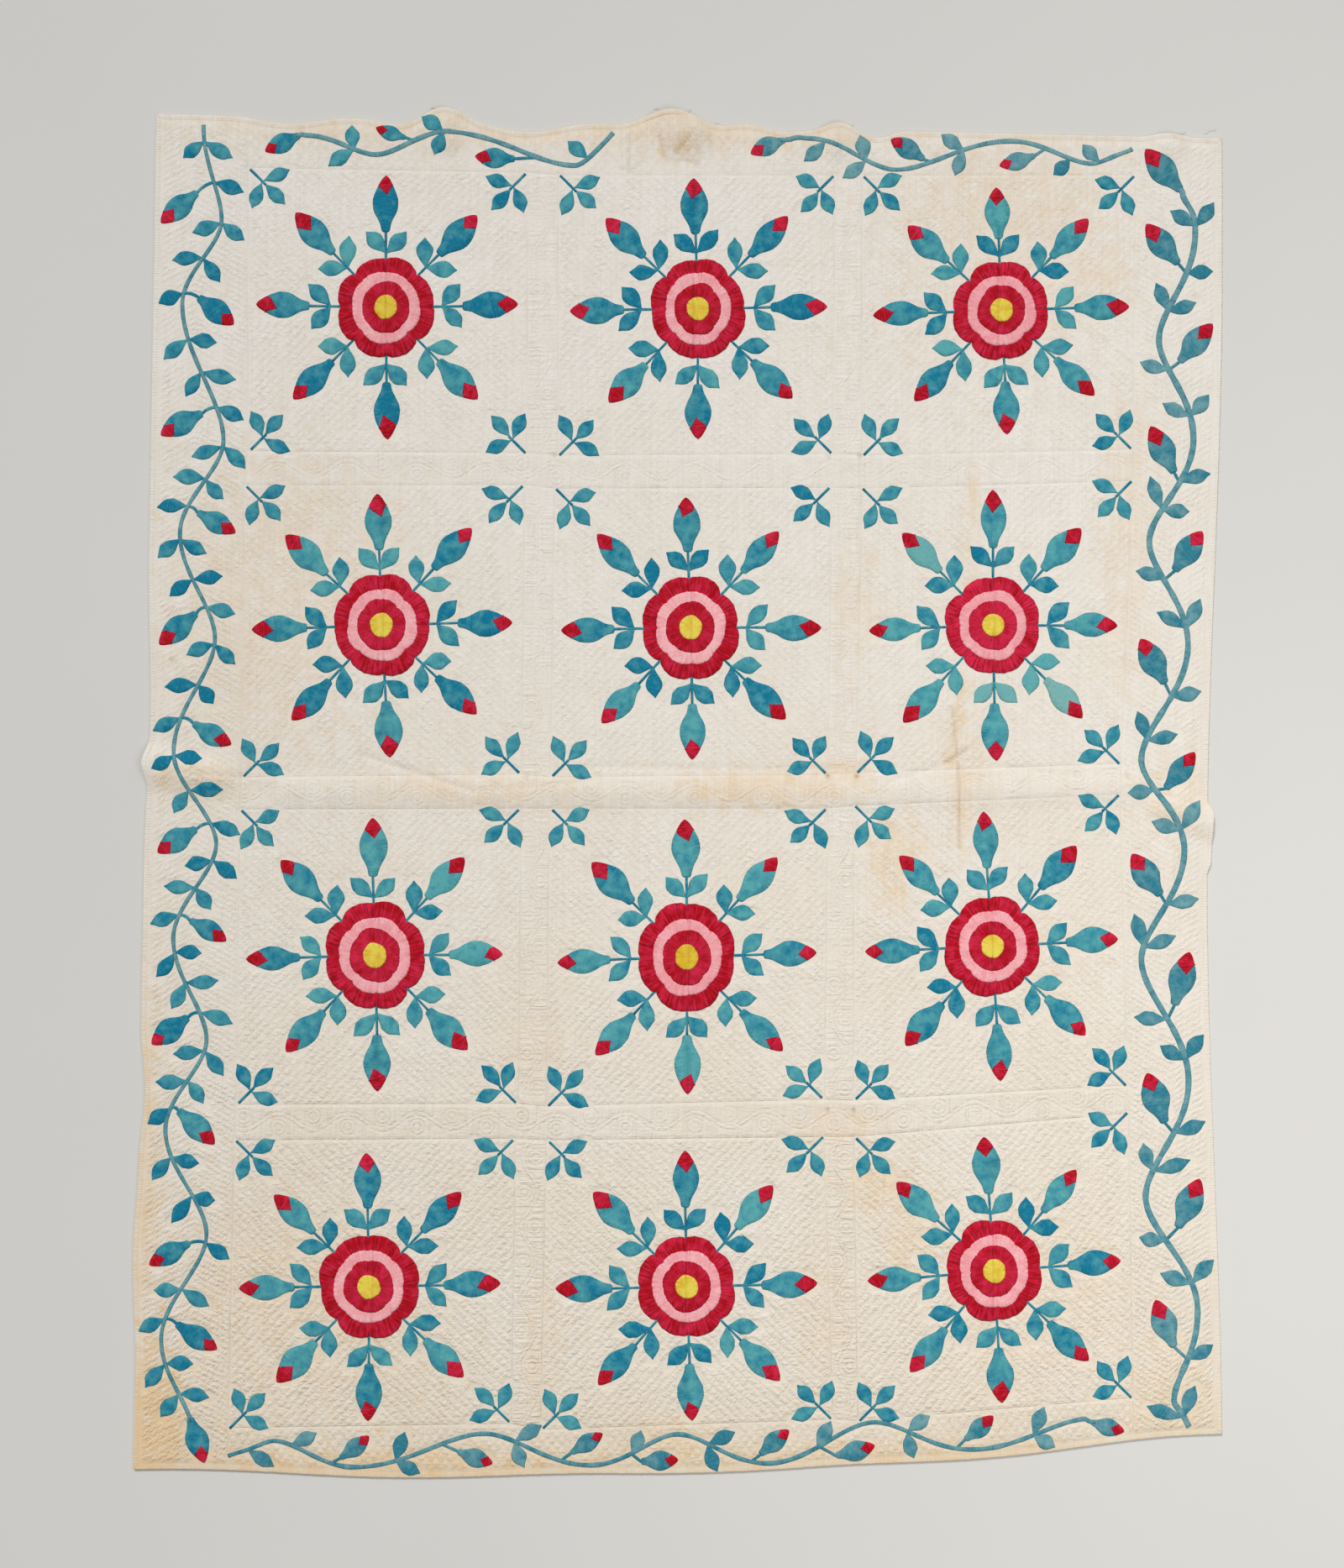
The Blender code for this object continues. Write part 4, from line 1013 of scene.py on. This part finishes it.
CELL = 4.2  # side of a cell of the ground's face
SEAM_LIP = 1.4  # half width of the groove at a seam
SEAM_TURN = 0.12  # how near a seam its last row of cells ends, so the face shades level up to it
EDGE = EDGE_INSET + 0.15  # how far in from the outline the ground's face begins, under the binding
HEM_DIP = 6.0  # how far the ground dips beside an applique piece
COLUMNS, ROWS = 7, 9  # of panels: borders, blocks and the sashes between them
SEAM_OUT_X, SEAM_OUT_Y = 33, 31  # from the middle of a sprig to the crossing seams that it points at


def seam_corners():
    """Where the seams cross, from the sprigs that point at them: rows of six places."""
    rows = []
    for k, row in enumerate(SPRIGS):
        out_y = SEAM_OUT_Y if k % 2 == 0 else -SEAM_OUT_Y
        rows.append([spot(*at) + np.array((SEAM_OUT_X if i % 2 else -SEAM_OUT_X, out_y))
                     for i, at in enumerate(row)])
    return rows


def cuts(width):
    """Shares along a panel at which its cells are cut, with narrow ones at each seam."""
    count = max(2, round((width - 2 * SEAM_LIP) / CELL))
    lip, turn = SEAM_LIP / width, SEAM_TURN / width
    return np.concatenate(([0.0, turn], np.linspace(lip, 1 - lip, count + 1), [1 - turn]))


def grid_lines(widths):
    """For each line of the grid, the panel that it crosses and its share of the way through it, and the
    number of the first line of each panel."""
    lines, starts = [], []
    for number, width in enumerate(widths):
        starts.append(len(lines))
        lines += [(number, share) for share in cuts(width)]
    starts.append(len(lines))
    lines.append((len(widths) - 1, 1.0))
    return lines, starts


class Ground:
    """The grid of points of the whole face, from which the panels are cut along the seams."""

    def __init__(self):
        top, bottom, left, right = (OUTLINE[n] for n in ("top", "bottom", "left", "right"))
        inner = seam_corners()
        top_at = [EDGE] + [top.distance_at(0, p[0]) for p in inner[0]] + [top.length - EDGE]
        low_at = [EDGE] + [bottom.distance_at(0, p[0]) for p in inner[-1]] + [bottom.length - EDGE]
        left_at = [EDGE] + [left.distance_at(1, row[0][1]) for row in inner] + [left.length - EDGE]
        right_at = [EDGE] + [right.distance_at(1, row[-1][1]) for row in inner] + [right.length - EDGE]
        nodes = [top.point(top_at, EDGE)] + [
            np.array([left.point(a, EDGE)] + row + [right.point(b, EDGE)])
            for a, b, row in zip(left_at[1:-1], right_at[1:-1], inner)
        ] + [bottom.point(low_at, EDGE)]
        nodes = np.array(nodes)
        # Cells are counted along the middle row and the middle column of panels
        columns, self.column_starts = grid_lines(np.abs(np.diff(nodes[ROWS // 2, :, 0])))
        rows, self.row_starts = grid_lines(np.abs(np.diff(nodes[:, COLUMNS // 2, 1])))
        places = np.zeros((len(rows), len(columns), 2))
        column_of = np.array([i for i, _ in columns])
        share_of = np.array([a for _, a in columns])
        top_line = top.point(np.interp(column_of + share_of, range(COLUMNS + 1), top_at), EDGE)
        low_line = bottom.point(np.interp(column_of + share_of, range(COLUMNS + 1), low_at), EDGE)
        top_chord = self.between(nodes[0], column_of, share_of)
        low_chord = self.between(nodes[ROWS], column_of, share_of)
        for r, (j, b) in enumerate(rows):
            line = nodes[j] * (1 - b) + nodes[j + 1] * b
            line[0] = left.point(left_at[j] * (1 - b) + left_at[j + 1] * b, EDGE)
            line[COLUMNS] = right.point(right_at[j] * (1 - b) + right_at[j + 1] * b, EDGE)
            places[r] = self.between(line, column_of, share_of)
            if j == 0:
                places[r] += (1 - b) * (top_line - top_chord)
            if j == ROWS - 1:
                places[r] += b * (low_line - low_chord)
        self.x, self.y = places[..., 0], places[..., 1]
        inset = EDGE + np.min((np.abs(self.y - self.y[:1]), np.abs(self.y - self.y[-1:]),
                               np.abs(self.x - self.x[:, :1]), np.abs(self.x - self.x[:, -1:])), axis=0)
        self.full = step((inset - SQUEEZE_END) / (FULL_THICKNESS_INSET - SQUEEZE_END))
        laid = lay(self.x, self.y)
        self.low = laid + EDGE_INSET * (1 - self.full)
        thin = EDGE_INSET + EDGE_THICKNESS
        filled = QUILT_THICKNESS - thin + rumple(self.x, self.y, CREASES)
        self.base = laid + thin + filled * self.full
        self.motif = self.sewn_on()
        self.wear_and_painted_light = wear_and_painted_light(self.x, self.y)

    @staticmethod
    def between(line, column_of, share_of):
        """Places along a line of panel corners, for each column of the grid."""
        return line[column_of] * (1 - share_of)[:, None] + line[column_of + 1] * share_of[:, None]

    def sewn_on(self):
        """1 under the applique, falling to 0 a few millimetres outside it."""
        cover = np.zeros_like(self.x)
        levels_x, levels_y = self.x.mean(axis=0), -self.y.mean(axis=1)
        for x0, y0, x1, y1, half in MOTIFS:
            # Only the cells near it, with room for how far the lines of the grid bow and lean
            reach_x, reach_y = half + 48, half + 38
            c0, c1 = np.searchsorted(levels_x, (min(x0, x1) - reach_x, max(x0, x1) + reach_x))
            r0, r1 = np.searchsorted(levels_y, (-max(y0, y1) - reach_y, -min(y0, y1) + reach_y))
            part = (slice(r0, r1), slice(c0, c1))
            away = from_line(self.x[part], self.y[part], x0, y0, x1, y1) - half
            cover[part] = np.maximum(cover[part], 1 - step(away / HEM_DIP))
        return cover


# Millimetres between quilting lines
BLOCK_PITCH = 11.5
BORDER_PITCH = 10.5
SLANT = 0.8  # slope of the lines that cross in the top and lower border
SLANT_LENGTH = 1.28  # length of a step of 1 down and SLANT across


def block_lines(block):
    """Lines that run the way of the diagonal in each quarter of a block. Like the other patterns below, it
    gives the place across one set of lines, across another and along them, counted in lines."""
    def lines(x, y):
        turn = math.radians(-block.turn)
        dx, dy = x - block.x, y - block.y
        u = dx * math.cos(turn) - dy * math.sin(turn)
        v = dx * math.sin(turn) + dy * math.cos(turn)
        pitch = math.sqrt(2) * BLOCK_PITCH
        q = (np.abs(u) - np.abs(v)) / pitch + 0.14 * wobble(x, y, 60, 21) + 0.09 * wobble(x, y, 20, 24)
        return q, np.full_like(q, 0.5), (np.abs(u) + np.abs(v)) / pitch + 0.37 * np.sign(u) * np.sign(v)
    return lines


SCROLL = 115  # millimetres of sash to one whole swing of its scroll


def scroll_lines(upright):
    """A cable that swings from side to side along a sash, with a curl in each hollow."""
    def lines(x, y):
        along, across = (y, x - x.mean(axis=1, keepdims=True)) if upright else (
            x, y - y.mean(axis=0, keepdims=True))
        swing = np.sin(2 * math.pi * along / SCROLL)
        cable = np.clip((across - 13 * swing) / 8.0 + 0.1 * wobble(x, y, 60, 26), -1, 1) + 0.5
        middle = (np.floor(2 * along / SCROLL) + 0.5) * SCROLL / 2
        curl = np.hypot(along - middle, across + 9 * np.sign(swing))
        return cable, np.clip((curl - 2.5) / 7.0, 0, 2) + 0.5, along / 10.0
    return lines


def chevron_lines(middle, slope):
    """Lines that slant both ways from a line down the middle of a border."""
    def lines(x, y):
        q = (y + slope * np.abs(x - middle)) / BORDER_PITCH + 0.16 * wobble(x, y, 50, 22)
        return q, np.full_like(q, 0.5), (x - 0.5 * y) / BORDER_PITCH
    return lines


def crossing_lines(pitch):
    """Two sets of lines that cross on the slant."""
    def lines(x, y):
        bend = 0.13 * wobble(x, y, 50, 25)
        rising, falling = ((x + way * SLANT * y) / SLANT_LENGTH / pitch for way in (1, -1))
        return rising + bend, falling - bend, x / pitch
    return lines


def puff(q):
    """Fullness between two quilting lines: 0 on a line and 1 midway."""
    away = np.abs(q - np.floor(q) - 0.5)
    return (1 - 2 * away) ** 0.5


UNDERSIDE_STEP = 8  # lines of the face to each line of the plain underside


def puffed_face(ground, part, q1, q2, depth):
    """Height of a panel's face, how far it puffs at each point, and which points lie on its seams."""
    x, y = ground.x[part], ground.y[part]
    high, wide = x.shape
    down, across = np.arange(high), np.arange(wide)
    from_edge = np.minimum.outer(np.minimum(down, high - 1 - down), np.minimum(across, wide - 1 - across))
    from_edge = np.maximum(from_edge - 1, 0)  # the two outermost lines lie together at the seam
    # The filling is looser and its puffs higher towards the lower edge
    loose = 0.64 + 0.81 * step((250 - y) / 1300) + 0.3 * wobble(x, y, 70, 31) + 0.15 * wobble(x, y, 25, 32)
    loose = np.maximum(loose, 0.1)
    soft = puff(q1) * puff(q2)
    cover, full = ground.motif[part], ground.full[part]
    free = (1 - cover) * full * step(from_edge / 2.2)
    dip = 4 * cover * (1 - cover)
    broken = np.clip(0.55 + 0.6 * wobble(x, y, 15, 33) + 0.3 * wobble(x, y, 140, 34), 0, 1.6)
    tucks = 0.11 * wobble(0.4 * x, y, 8.5, 35) * loose
    # Puffs between the lines, and a dip where the hem of an applique piece draws the ground down
    z = ground.base[part] + (depth * loose * broken * (soft - 0.7) + tucks) * free - 0.35 * dip * full
    seam, ridge = ((from_edge == line) * full for line in (0, 1))
    return z - 0.04 * seam + 0.02 * ridge, loose * free, seam


def close_panel(high, wide):
    """Faces of a closed panel over a grid of points, and the rows and columns of the points that its
    underside repeats. The underside keeps some of the lines, and every point along its own edge."""
    faces = [(r * wide + c, (r + 1) * wide + c, (r + 1) * wide + c + 1, r * wide + c + 1)
             for r in range(high - 1) for c in range(wide - 1)]
    number = {}

    def under(r, c):
        """Number of the point of the underside below a point of the grid."""
        return number.setdefault((r, c), high * wide + len(number))

    keep_r = sorted({*range(0, high, UNDERSIDE_STEP), high - 1})
    keep_c = sorted({*range(0, wide, UNDERSIDE_STEP), wide - 1})
    for ra, rb in zip(keep_r, keep_r[1:]):
        for ca, cb in zip(keep_c, keep_c[1:]):
            loop = [(ra, c) for c in (range(ca, cb) if ra == 0 else (ca,))]
            loop += [(r, cb) for r in (range(ra, rb) if cb == wide - 1 else (ra,))]
            loop += [(rb, c) for c in (range(cb, ca, -1) if rb == high - 1 else (cb,))]
            loop += [(r, ca) for r in (range(rb, ra, -1) if ca == 0 else (rb,))]
            faces.append(tuple(under(r, c) for r, c in loop))
    rim = [(0, c) for c in range(wide - 1)] + [(r, wide - 1) for r in range(high - 1)]
    rim += [(high - 1, c) for c in range(wide - 1, 0, -1)] + [(r, 0) for r in range(high - 1, 0, -1)]
    for (ra, ca), (rb, cb) in zip(rim, rim[1:] + rim[:1]):
        faces.append((ra * wide + ca, rb * wide + cb, under(rb, cb), under(ra, ca)))
    return faces, tuple(np.array(list(number)).T)


def panel(ground, name, cols, rows, lines, depth):
    """Cuts one panel from the ground: its puffed face, its walls and a plain underside."""
    c0, c1 = ground.column_starts[cols[0]], ground.column_starts[cols[1]]
    r0, r1 = ground.row_starts[rows[0]], ground.row_starts[rows[1]]
    part = (slice(r0, r1 + 1), slice(c0, c1 + 1))
    x, y = ground.x[part], ground.y[part]
    q1, q2, along = lines(x, y)
    z, puffy, seam = puffed_face(ground, part, q1, q2, depth)
    faces, below = close_panel(*x.shape)
    points = np.concatenate((np.stack((x, y, z), axis=-1).reshape(-1, 3),
                             np.stack((x, y, ground.low[part]), axis=-1)[below]))
    numbers = {key: np.concatenate((grid[part].ravel(), grid[part][below]))
               for key, grid in ground.wear_and_painted_light.items()}
    # Puckers, and the painted shade of the pulls and of the folds, are on the face alone
    nothing = np.zeros(len(below[0]))
    # painted shade of the creases and pulls, with a faint darker line along the seams
    numbers["seam"] = np.concatenate(((pull_shadow(x, y) + 0.03 * seam).ravel(), nothing))
    numbers["puffy"] = np.concatenate((puffy.ravel(), nothing))
    # painted shade of the folds, laid into the tan of the stains
    folds = np.concatenate((0.4 * fold_shadow(x, y).ravel(), nothing))
    numbers["stain"] = np.maximum(numbers["stain"], folds)
    maps = {}
    for label, pair in (("quilting", (q1, q2)), ("run", (q1, along))):
        places = np.stack(pair, axis=-1)
        maps[label] = np.concatenate((places.reshape(-1, 2), places[below]))
    piece = new_piece(name, points, faces, MUSLIN, numbers, maps)
    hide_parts("ground")
    width = np.hypot(*np.diff(np.stack((x, y)), axis=2)).sum(axis=1).mean() * MM
    length = np.hypot(*np.diff(np.stack((x, y)), axis=1)).sum(axis=0).mean() * MM
    return piece, (width, length)


BLOCK_PUFF, SASH_PUFF = 0.42, 0.32  # how deep the puffs between the quilting lines are


def build_ground():
    """Twelve blocks, the sashes between them and four borders."""
    ground = Ground()
    for number, block in enumerate(BLOCKS):
        row, column = divmod(number, 3)
        cols, rows = (1 + 2 * column, 2 + 2 * column), (1 + 2 * row, 2 + 2 * row)
        panel(ground, "block_" + block.name, cols, rows, block_lines(block), BLOCK_PUFF)
    for row in range(4):
        for column in (0, 1):
            name = f"upright_sash_r{row + 1}_{column + 1}"
            cols, rows = (2 + 2 * column, 3 + 2 * column), (1 + 2 * row, 2 + 2 * row)
            panel(ground, name, cols, rows, scroll_lines(True), SASH_PUFF)
    for row in range(3):
        name = f"level_sash_{row + 1}"
        rows = (2 + 2 * row, 3 + 2 * row)
        panel(ground, name, (1, COLUMNS - 1), rows, scroll_lines(False), SASH_PUFF)
    # The borders: the columns and rows of the grid that they cover, their quilting and its depth
    between = (1, COLUMNS - 1)
    borders = (
        ("left", (0, 1), (0, ROWS), chevron_lines(-800, 0.55), 0.42),
        ("right", (COLUMNS - 1, COLUMNS), (0, ROWS), chevron_lines(815, -0.6), 0.5),
        ("top", between, (0, 1), crossing_lines(13.0), 0.4),
        ("bottom", between, (ROWS - 1, ROWS), crossing_lines(12.5), 0.6),
    )
    for side, cols, rows, lines, depth in borders:
        name = side + "_border"
        panel(ground, name, cols, rows, lines, depth)


# Section of the folded strip, from under the quilt round its edge to the hem line on the face:
# inset from the outline, and share of the binding's height
FOLD = ((BINDING_WIDTH, 0.0), (4.0, 0.0), (1.2, 0.03), (0.25, 0.20), (0.0, 0.45), (0.35, 0.67),
        (1.1, 0.735), (3.0, 0.745), (5.2, 0.745), (7.0, 0.743), (7.9, 0.737), (BINDING_WIDTH, 0.73),
        (7.7, 0.62), (4.0, 0.5))
HEM_STEP = 4.0  # millimetres between the nicks that the hem stitches make
HEM_NICK = 0.28  # how far they pull the edge in or let it out
BINDING_GAP = 0.35  # how far short of the next side a binding ends


def build_binding(name, draw):
    """A narrow strip folded over one side, whipped down with small stitches."""
    side = OUTLINE[name]
    count = int(side.length / HEM_STEP)
    distance = np.linspace(0.4, side.length - 0.4, count)
    points, seam = [], []
    nick = np.array([draw.uniform(-1, 1) for _ in range(count)])
    for inset, share in FOLD:
        reach = np.full(count, inset)
        moved = np.clip(distance, BINDING_GAP + inset, side.length - BINDING_GAP - inset)
        outer = 1.0 if inset < 2 and 0.1 < share < 0.95 else 0.35
        reach = reach + outer * HEM_NICK * nick
        places = side.point(moved, 0.0) + (side.point(moved, 1.0) - side.point(moved, 0.0)) * (
            np.maximum(reach, 0.0)[:, None])
        lifted = lay(*side.point(moved, 0.0).T)
        height = share * BINDING_HEIGHT * (1 + 0.012 * nick * (share > 0.5))
        points.append(np.column_stack((places, lifted + height)))
        seam.append(np.full(count, 0.04 if inset > 7.5 and share > 0.5 else 0.0))
    section = len(FOLD)
    points = np.stack(points, axis=1).reshape(-1, 3)
    faces = [tuple(range(section)), tuple((count - 1) * section + k for k in range(section - 1, -1, -1))]
    for k in range(count - 1):
        for i in range(section):
            a, b = k * section + i, k * section + (i + 1) % section
            faces.append((b, a, a + section, b + section))
    numbers = wear_and_painted_light(points[:, 0], points[:, 1])
    numbers["seam"] = np.stack(seam, axis=1).ravel()
    numbers["puffy"] = np.full(len(points), 0.5)
    along = np.repeat(distance / 4.2, section)
    uv = np.column_stack((along, np.full(len(points), 0.5)))
    piece = new_piece("folded_binding_" + name, points, faces, BINDING, numbers,
                      {"quilting": uv, "run": uv})
    turn_outwards(piece)
    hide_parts("binding_" + name)
    return piece


def turn_outwards(piece):
    """Points the faces of a closed piece out."""
    bpy.ops.object.select_all(action="DESELECT")
    piece.select_set(True)
    bpy.context.view_layer.objects.active = piece
    bpy.ops.object.mode_set(mode="EDIT")
    bpy.ops.mesh.select_all(action="SELECT")
    bpy.ops.mesh.normals_make_consistent(inside=False)
    bpy.ops.object.mode_set(mode="OBJECT")
    piece.select_set(False)


# Pixels of the two ends of each loose thread
THREADS = ((1003, 150, 1016, 146), (1392, 158, 1412, 156), (1432, 156, 1448, 153), (786, 133, 778, 129),
           (812, 132, 822, 127), (846, 147, 856, 145), (520, 132, 512, 128), (540, 136, 548, 131))
THREAD_RADIUS = 0.35  # drawn thicker than sewing thread, which would be too fine to show
THREAD_SIDES = 5


def build_threads(draw):
    """Loose ends of sewing thread at the top edge."""
    points, faces = [], []
    for px0, py0, px1, py1 in THREADS:
        start, end = spot(px0, py0), spot(px1, py1)
        shares = np.linspace(0, 1, 10)
        line = spine_between(start, end, draw.uniform(-5, 5), shares)
        line += np.stack((1.2 * np.sin(shares * 9), 1.0 * np.cos(shares * 11)), axis=1)
        height = 3.2 * (1 - shares) + 0.5
        base = len(points)
        for k, (x, y) in enumerate(line):
            for i in range(THREAD_SIDES):
                a = 2 * math.pi * i / THREAD_SIDES
                points.append((x + THREAD_RADIUS * math.cos(a), y + THREAD_RADIUS * math.cos(a) * 0.5,
                               height[k] + THREAD_RADIUS * math.sin(a)))
        for k in range(len(line) - 1):
            row = base + k * THREAD_SIDES
            for i in range(THREAD_SIDES):
                a, b = row + i, row + (i + 1) % THREAD_SIDES
                faces.append((a, b, b + THREAD_SIDES, a + THREAD_SIDES))
        faces.append(tuple(base + i for i in range(THREAD_SIDES - 1, -1, -1)))
        faces.append(tuple(base + (len(line) - 1) * THREAD_SIDES + i for i in range(THREAD_SIDES)))
    zero = np.zeros(len(points))
    middle = np.full((len(points), 2), 0.5)
    piece = new_piece("loose_threads", points, faces, BINDING,
                      {"age": zero + 0.3, "stain": zero, "rust": zero, "seam": zero, "puffy": zero},
                      {"quilting": middle, "run": middle})
    turn_outwards(piece)
    return piece


def build_quilt():
    """Everything that is sewn on, then the ground, which lies flat under it."""
    draw = random.Random(1850)
    on_block, on_border = {}, {side: [] for side in SIDES}
    for number, block in enumerate(BLOCKS):
        row, column = divmod(number, 3)
        sewn = build_sprigs(block, row, column, draw) + build_spray(block, draw)
        on_block[block.name] = sewn + build_rose(block, number, draw)
    for name in VINES:
        side = name.split("_")[0]
        on_border[side] += build_vine(name, draw)
    for side in SIDES:
        on_border[side].append(build_binding(side, draw))
    on_border["top"].append(build_threads(draw))
    build_ground()


build_quilt()


FLOOR_SIZE = 9.0  # metres
FLOOR_DROP = 0.0003  # metres that it lies below the quilt, so that the two faces don't flicker


def build_floor():
    """A plain pale studio floor."""
    bpy.ops.mesh.primitive_plane_add(size=FLOOR_SIZE, location=(0, 0, -FLOOR_DROP))
    floor = bpy.context.active_object
    floor.name = "floor"
    material = bpy.data.materials.new("painted_studio_floor")
    material.use_nodes = True
    tree = material.node_tree
    shader = tree.nodes["Principled BSDF"]
    where = add(tree, "ShaderNodeTexCoord", out="Object")
    cloud = add(tree, "ShaderNodeTexNoise", {"Vector": where, "Scale": 1.7, "Detail": 3.0})
    tone = add(tree, "ShaderNodeMix", {0: cloud, 6: linear("#D9D8D5"), 7: linear("#DEDDDA")}, 2,
               data_type="RGBA")
    tree.links.new(tone, shader.inputs["Base Color"])
    shader.inputs["Roughness"].default_value = 0.85
    floor.data.materials.append(material)


def add_light(name, kind, way, place, colour, **settings):
    """A light that shines one way."""
    data = bpy.data.lights.new(name, kind)
    data.color = colour
    for label, value in settings.items():
        setattr(data, label, value)
    light = bpy.data.objects.new(name, data)
    bpy.context.scene.collection.objects.link(light)
    light.location = place
    light.rotation_euler = Vector(way).to_track_quat("-Z", "Y").to_euler()
    light.visible_camera = False


def build_studio():
    """The floor, a pale sky, a large soft light from above and a weaker one beside it."""
    build_floor()
    world = bpy.data.worlds.new("studio")
    world.use_nodes = True
    background = world.node_tree.nodes["Background"]
    background.inputs["Color"].default_value = (1.0, 0.985, 0.965, 1.0)
    background.inputs["Strength"].default_value = 0.35
    bpy.context.scene.world = world
    add_light("high_soft_light", "SUN", (0.35, -1.0, -0.82), (0, 0, 4), (0.995, 0.995, 0.995),
              energy=2.09, angle=math.radians(14))
    add_light("fill_light", "AREA", (-1.2, 0.45, -2.2), (1.55, -0.6, 2.15), (1.0, 0.97, 0.93),
              energy=17.7, size=1.5)


CAMERA_HEIGHT = 4.0
FRAME_HEIGHT = 2.595  # metres of face that the photograph's long side covers
FRAME_MIDDLE = (800, 933.5)  # pixel
SENSOR_HEIGHT = 36.0


def build_camera():
    """Straight above, framed as the photograph is."""
    data = bpy.data.cameras.new("camera")
    data.lens = SENSOR_HEIGHT * CAMERA_HEIGHT / FRAME_HEIGHT
    data.dof.use_dof = False
    camera = bpy.data.objects.new("camera", data)
    bpy.context.scene.collection.objects.link(camera)
    x, y = spot(*FRAME_MIDDLE) * MM
    camera.location = (x, y, CAMERA_HEIGHT + QUILT_THICKNESS * MM)
    bpy.context.scene.camera = camera


build_studio()
build_camera()
bpy.context.scene.view_settings.view_transform = "Standard"
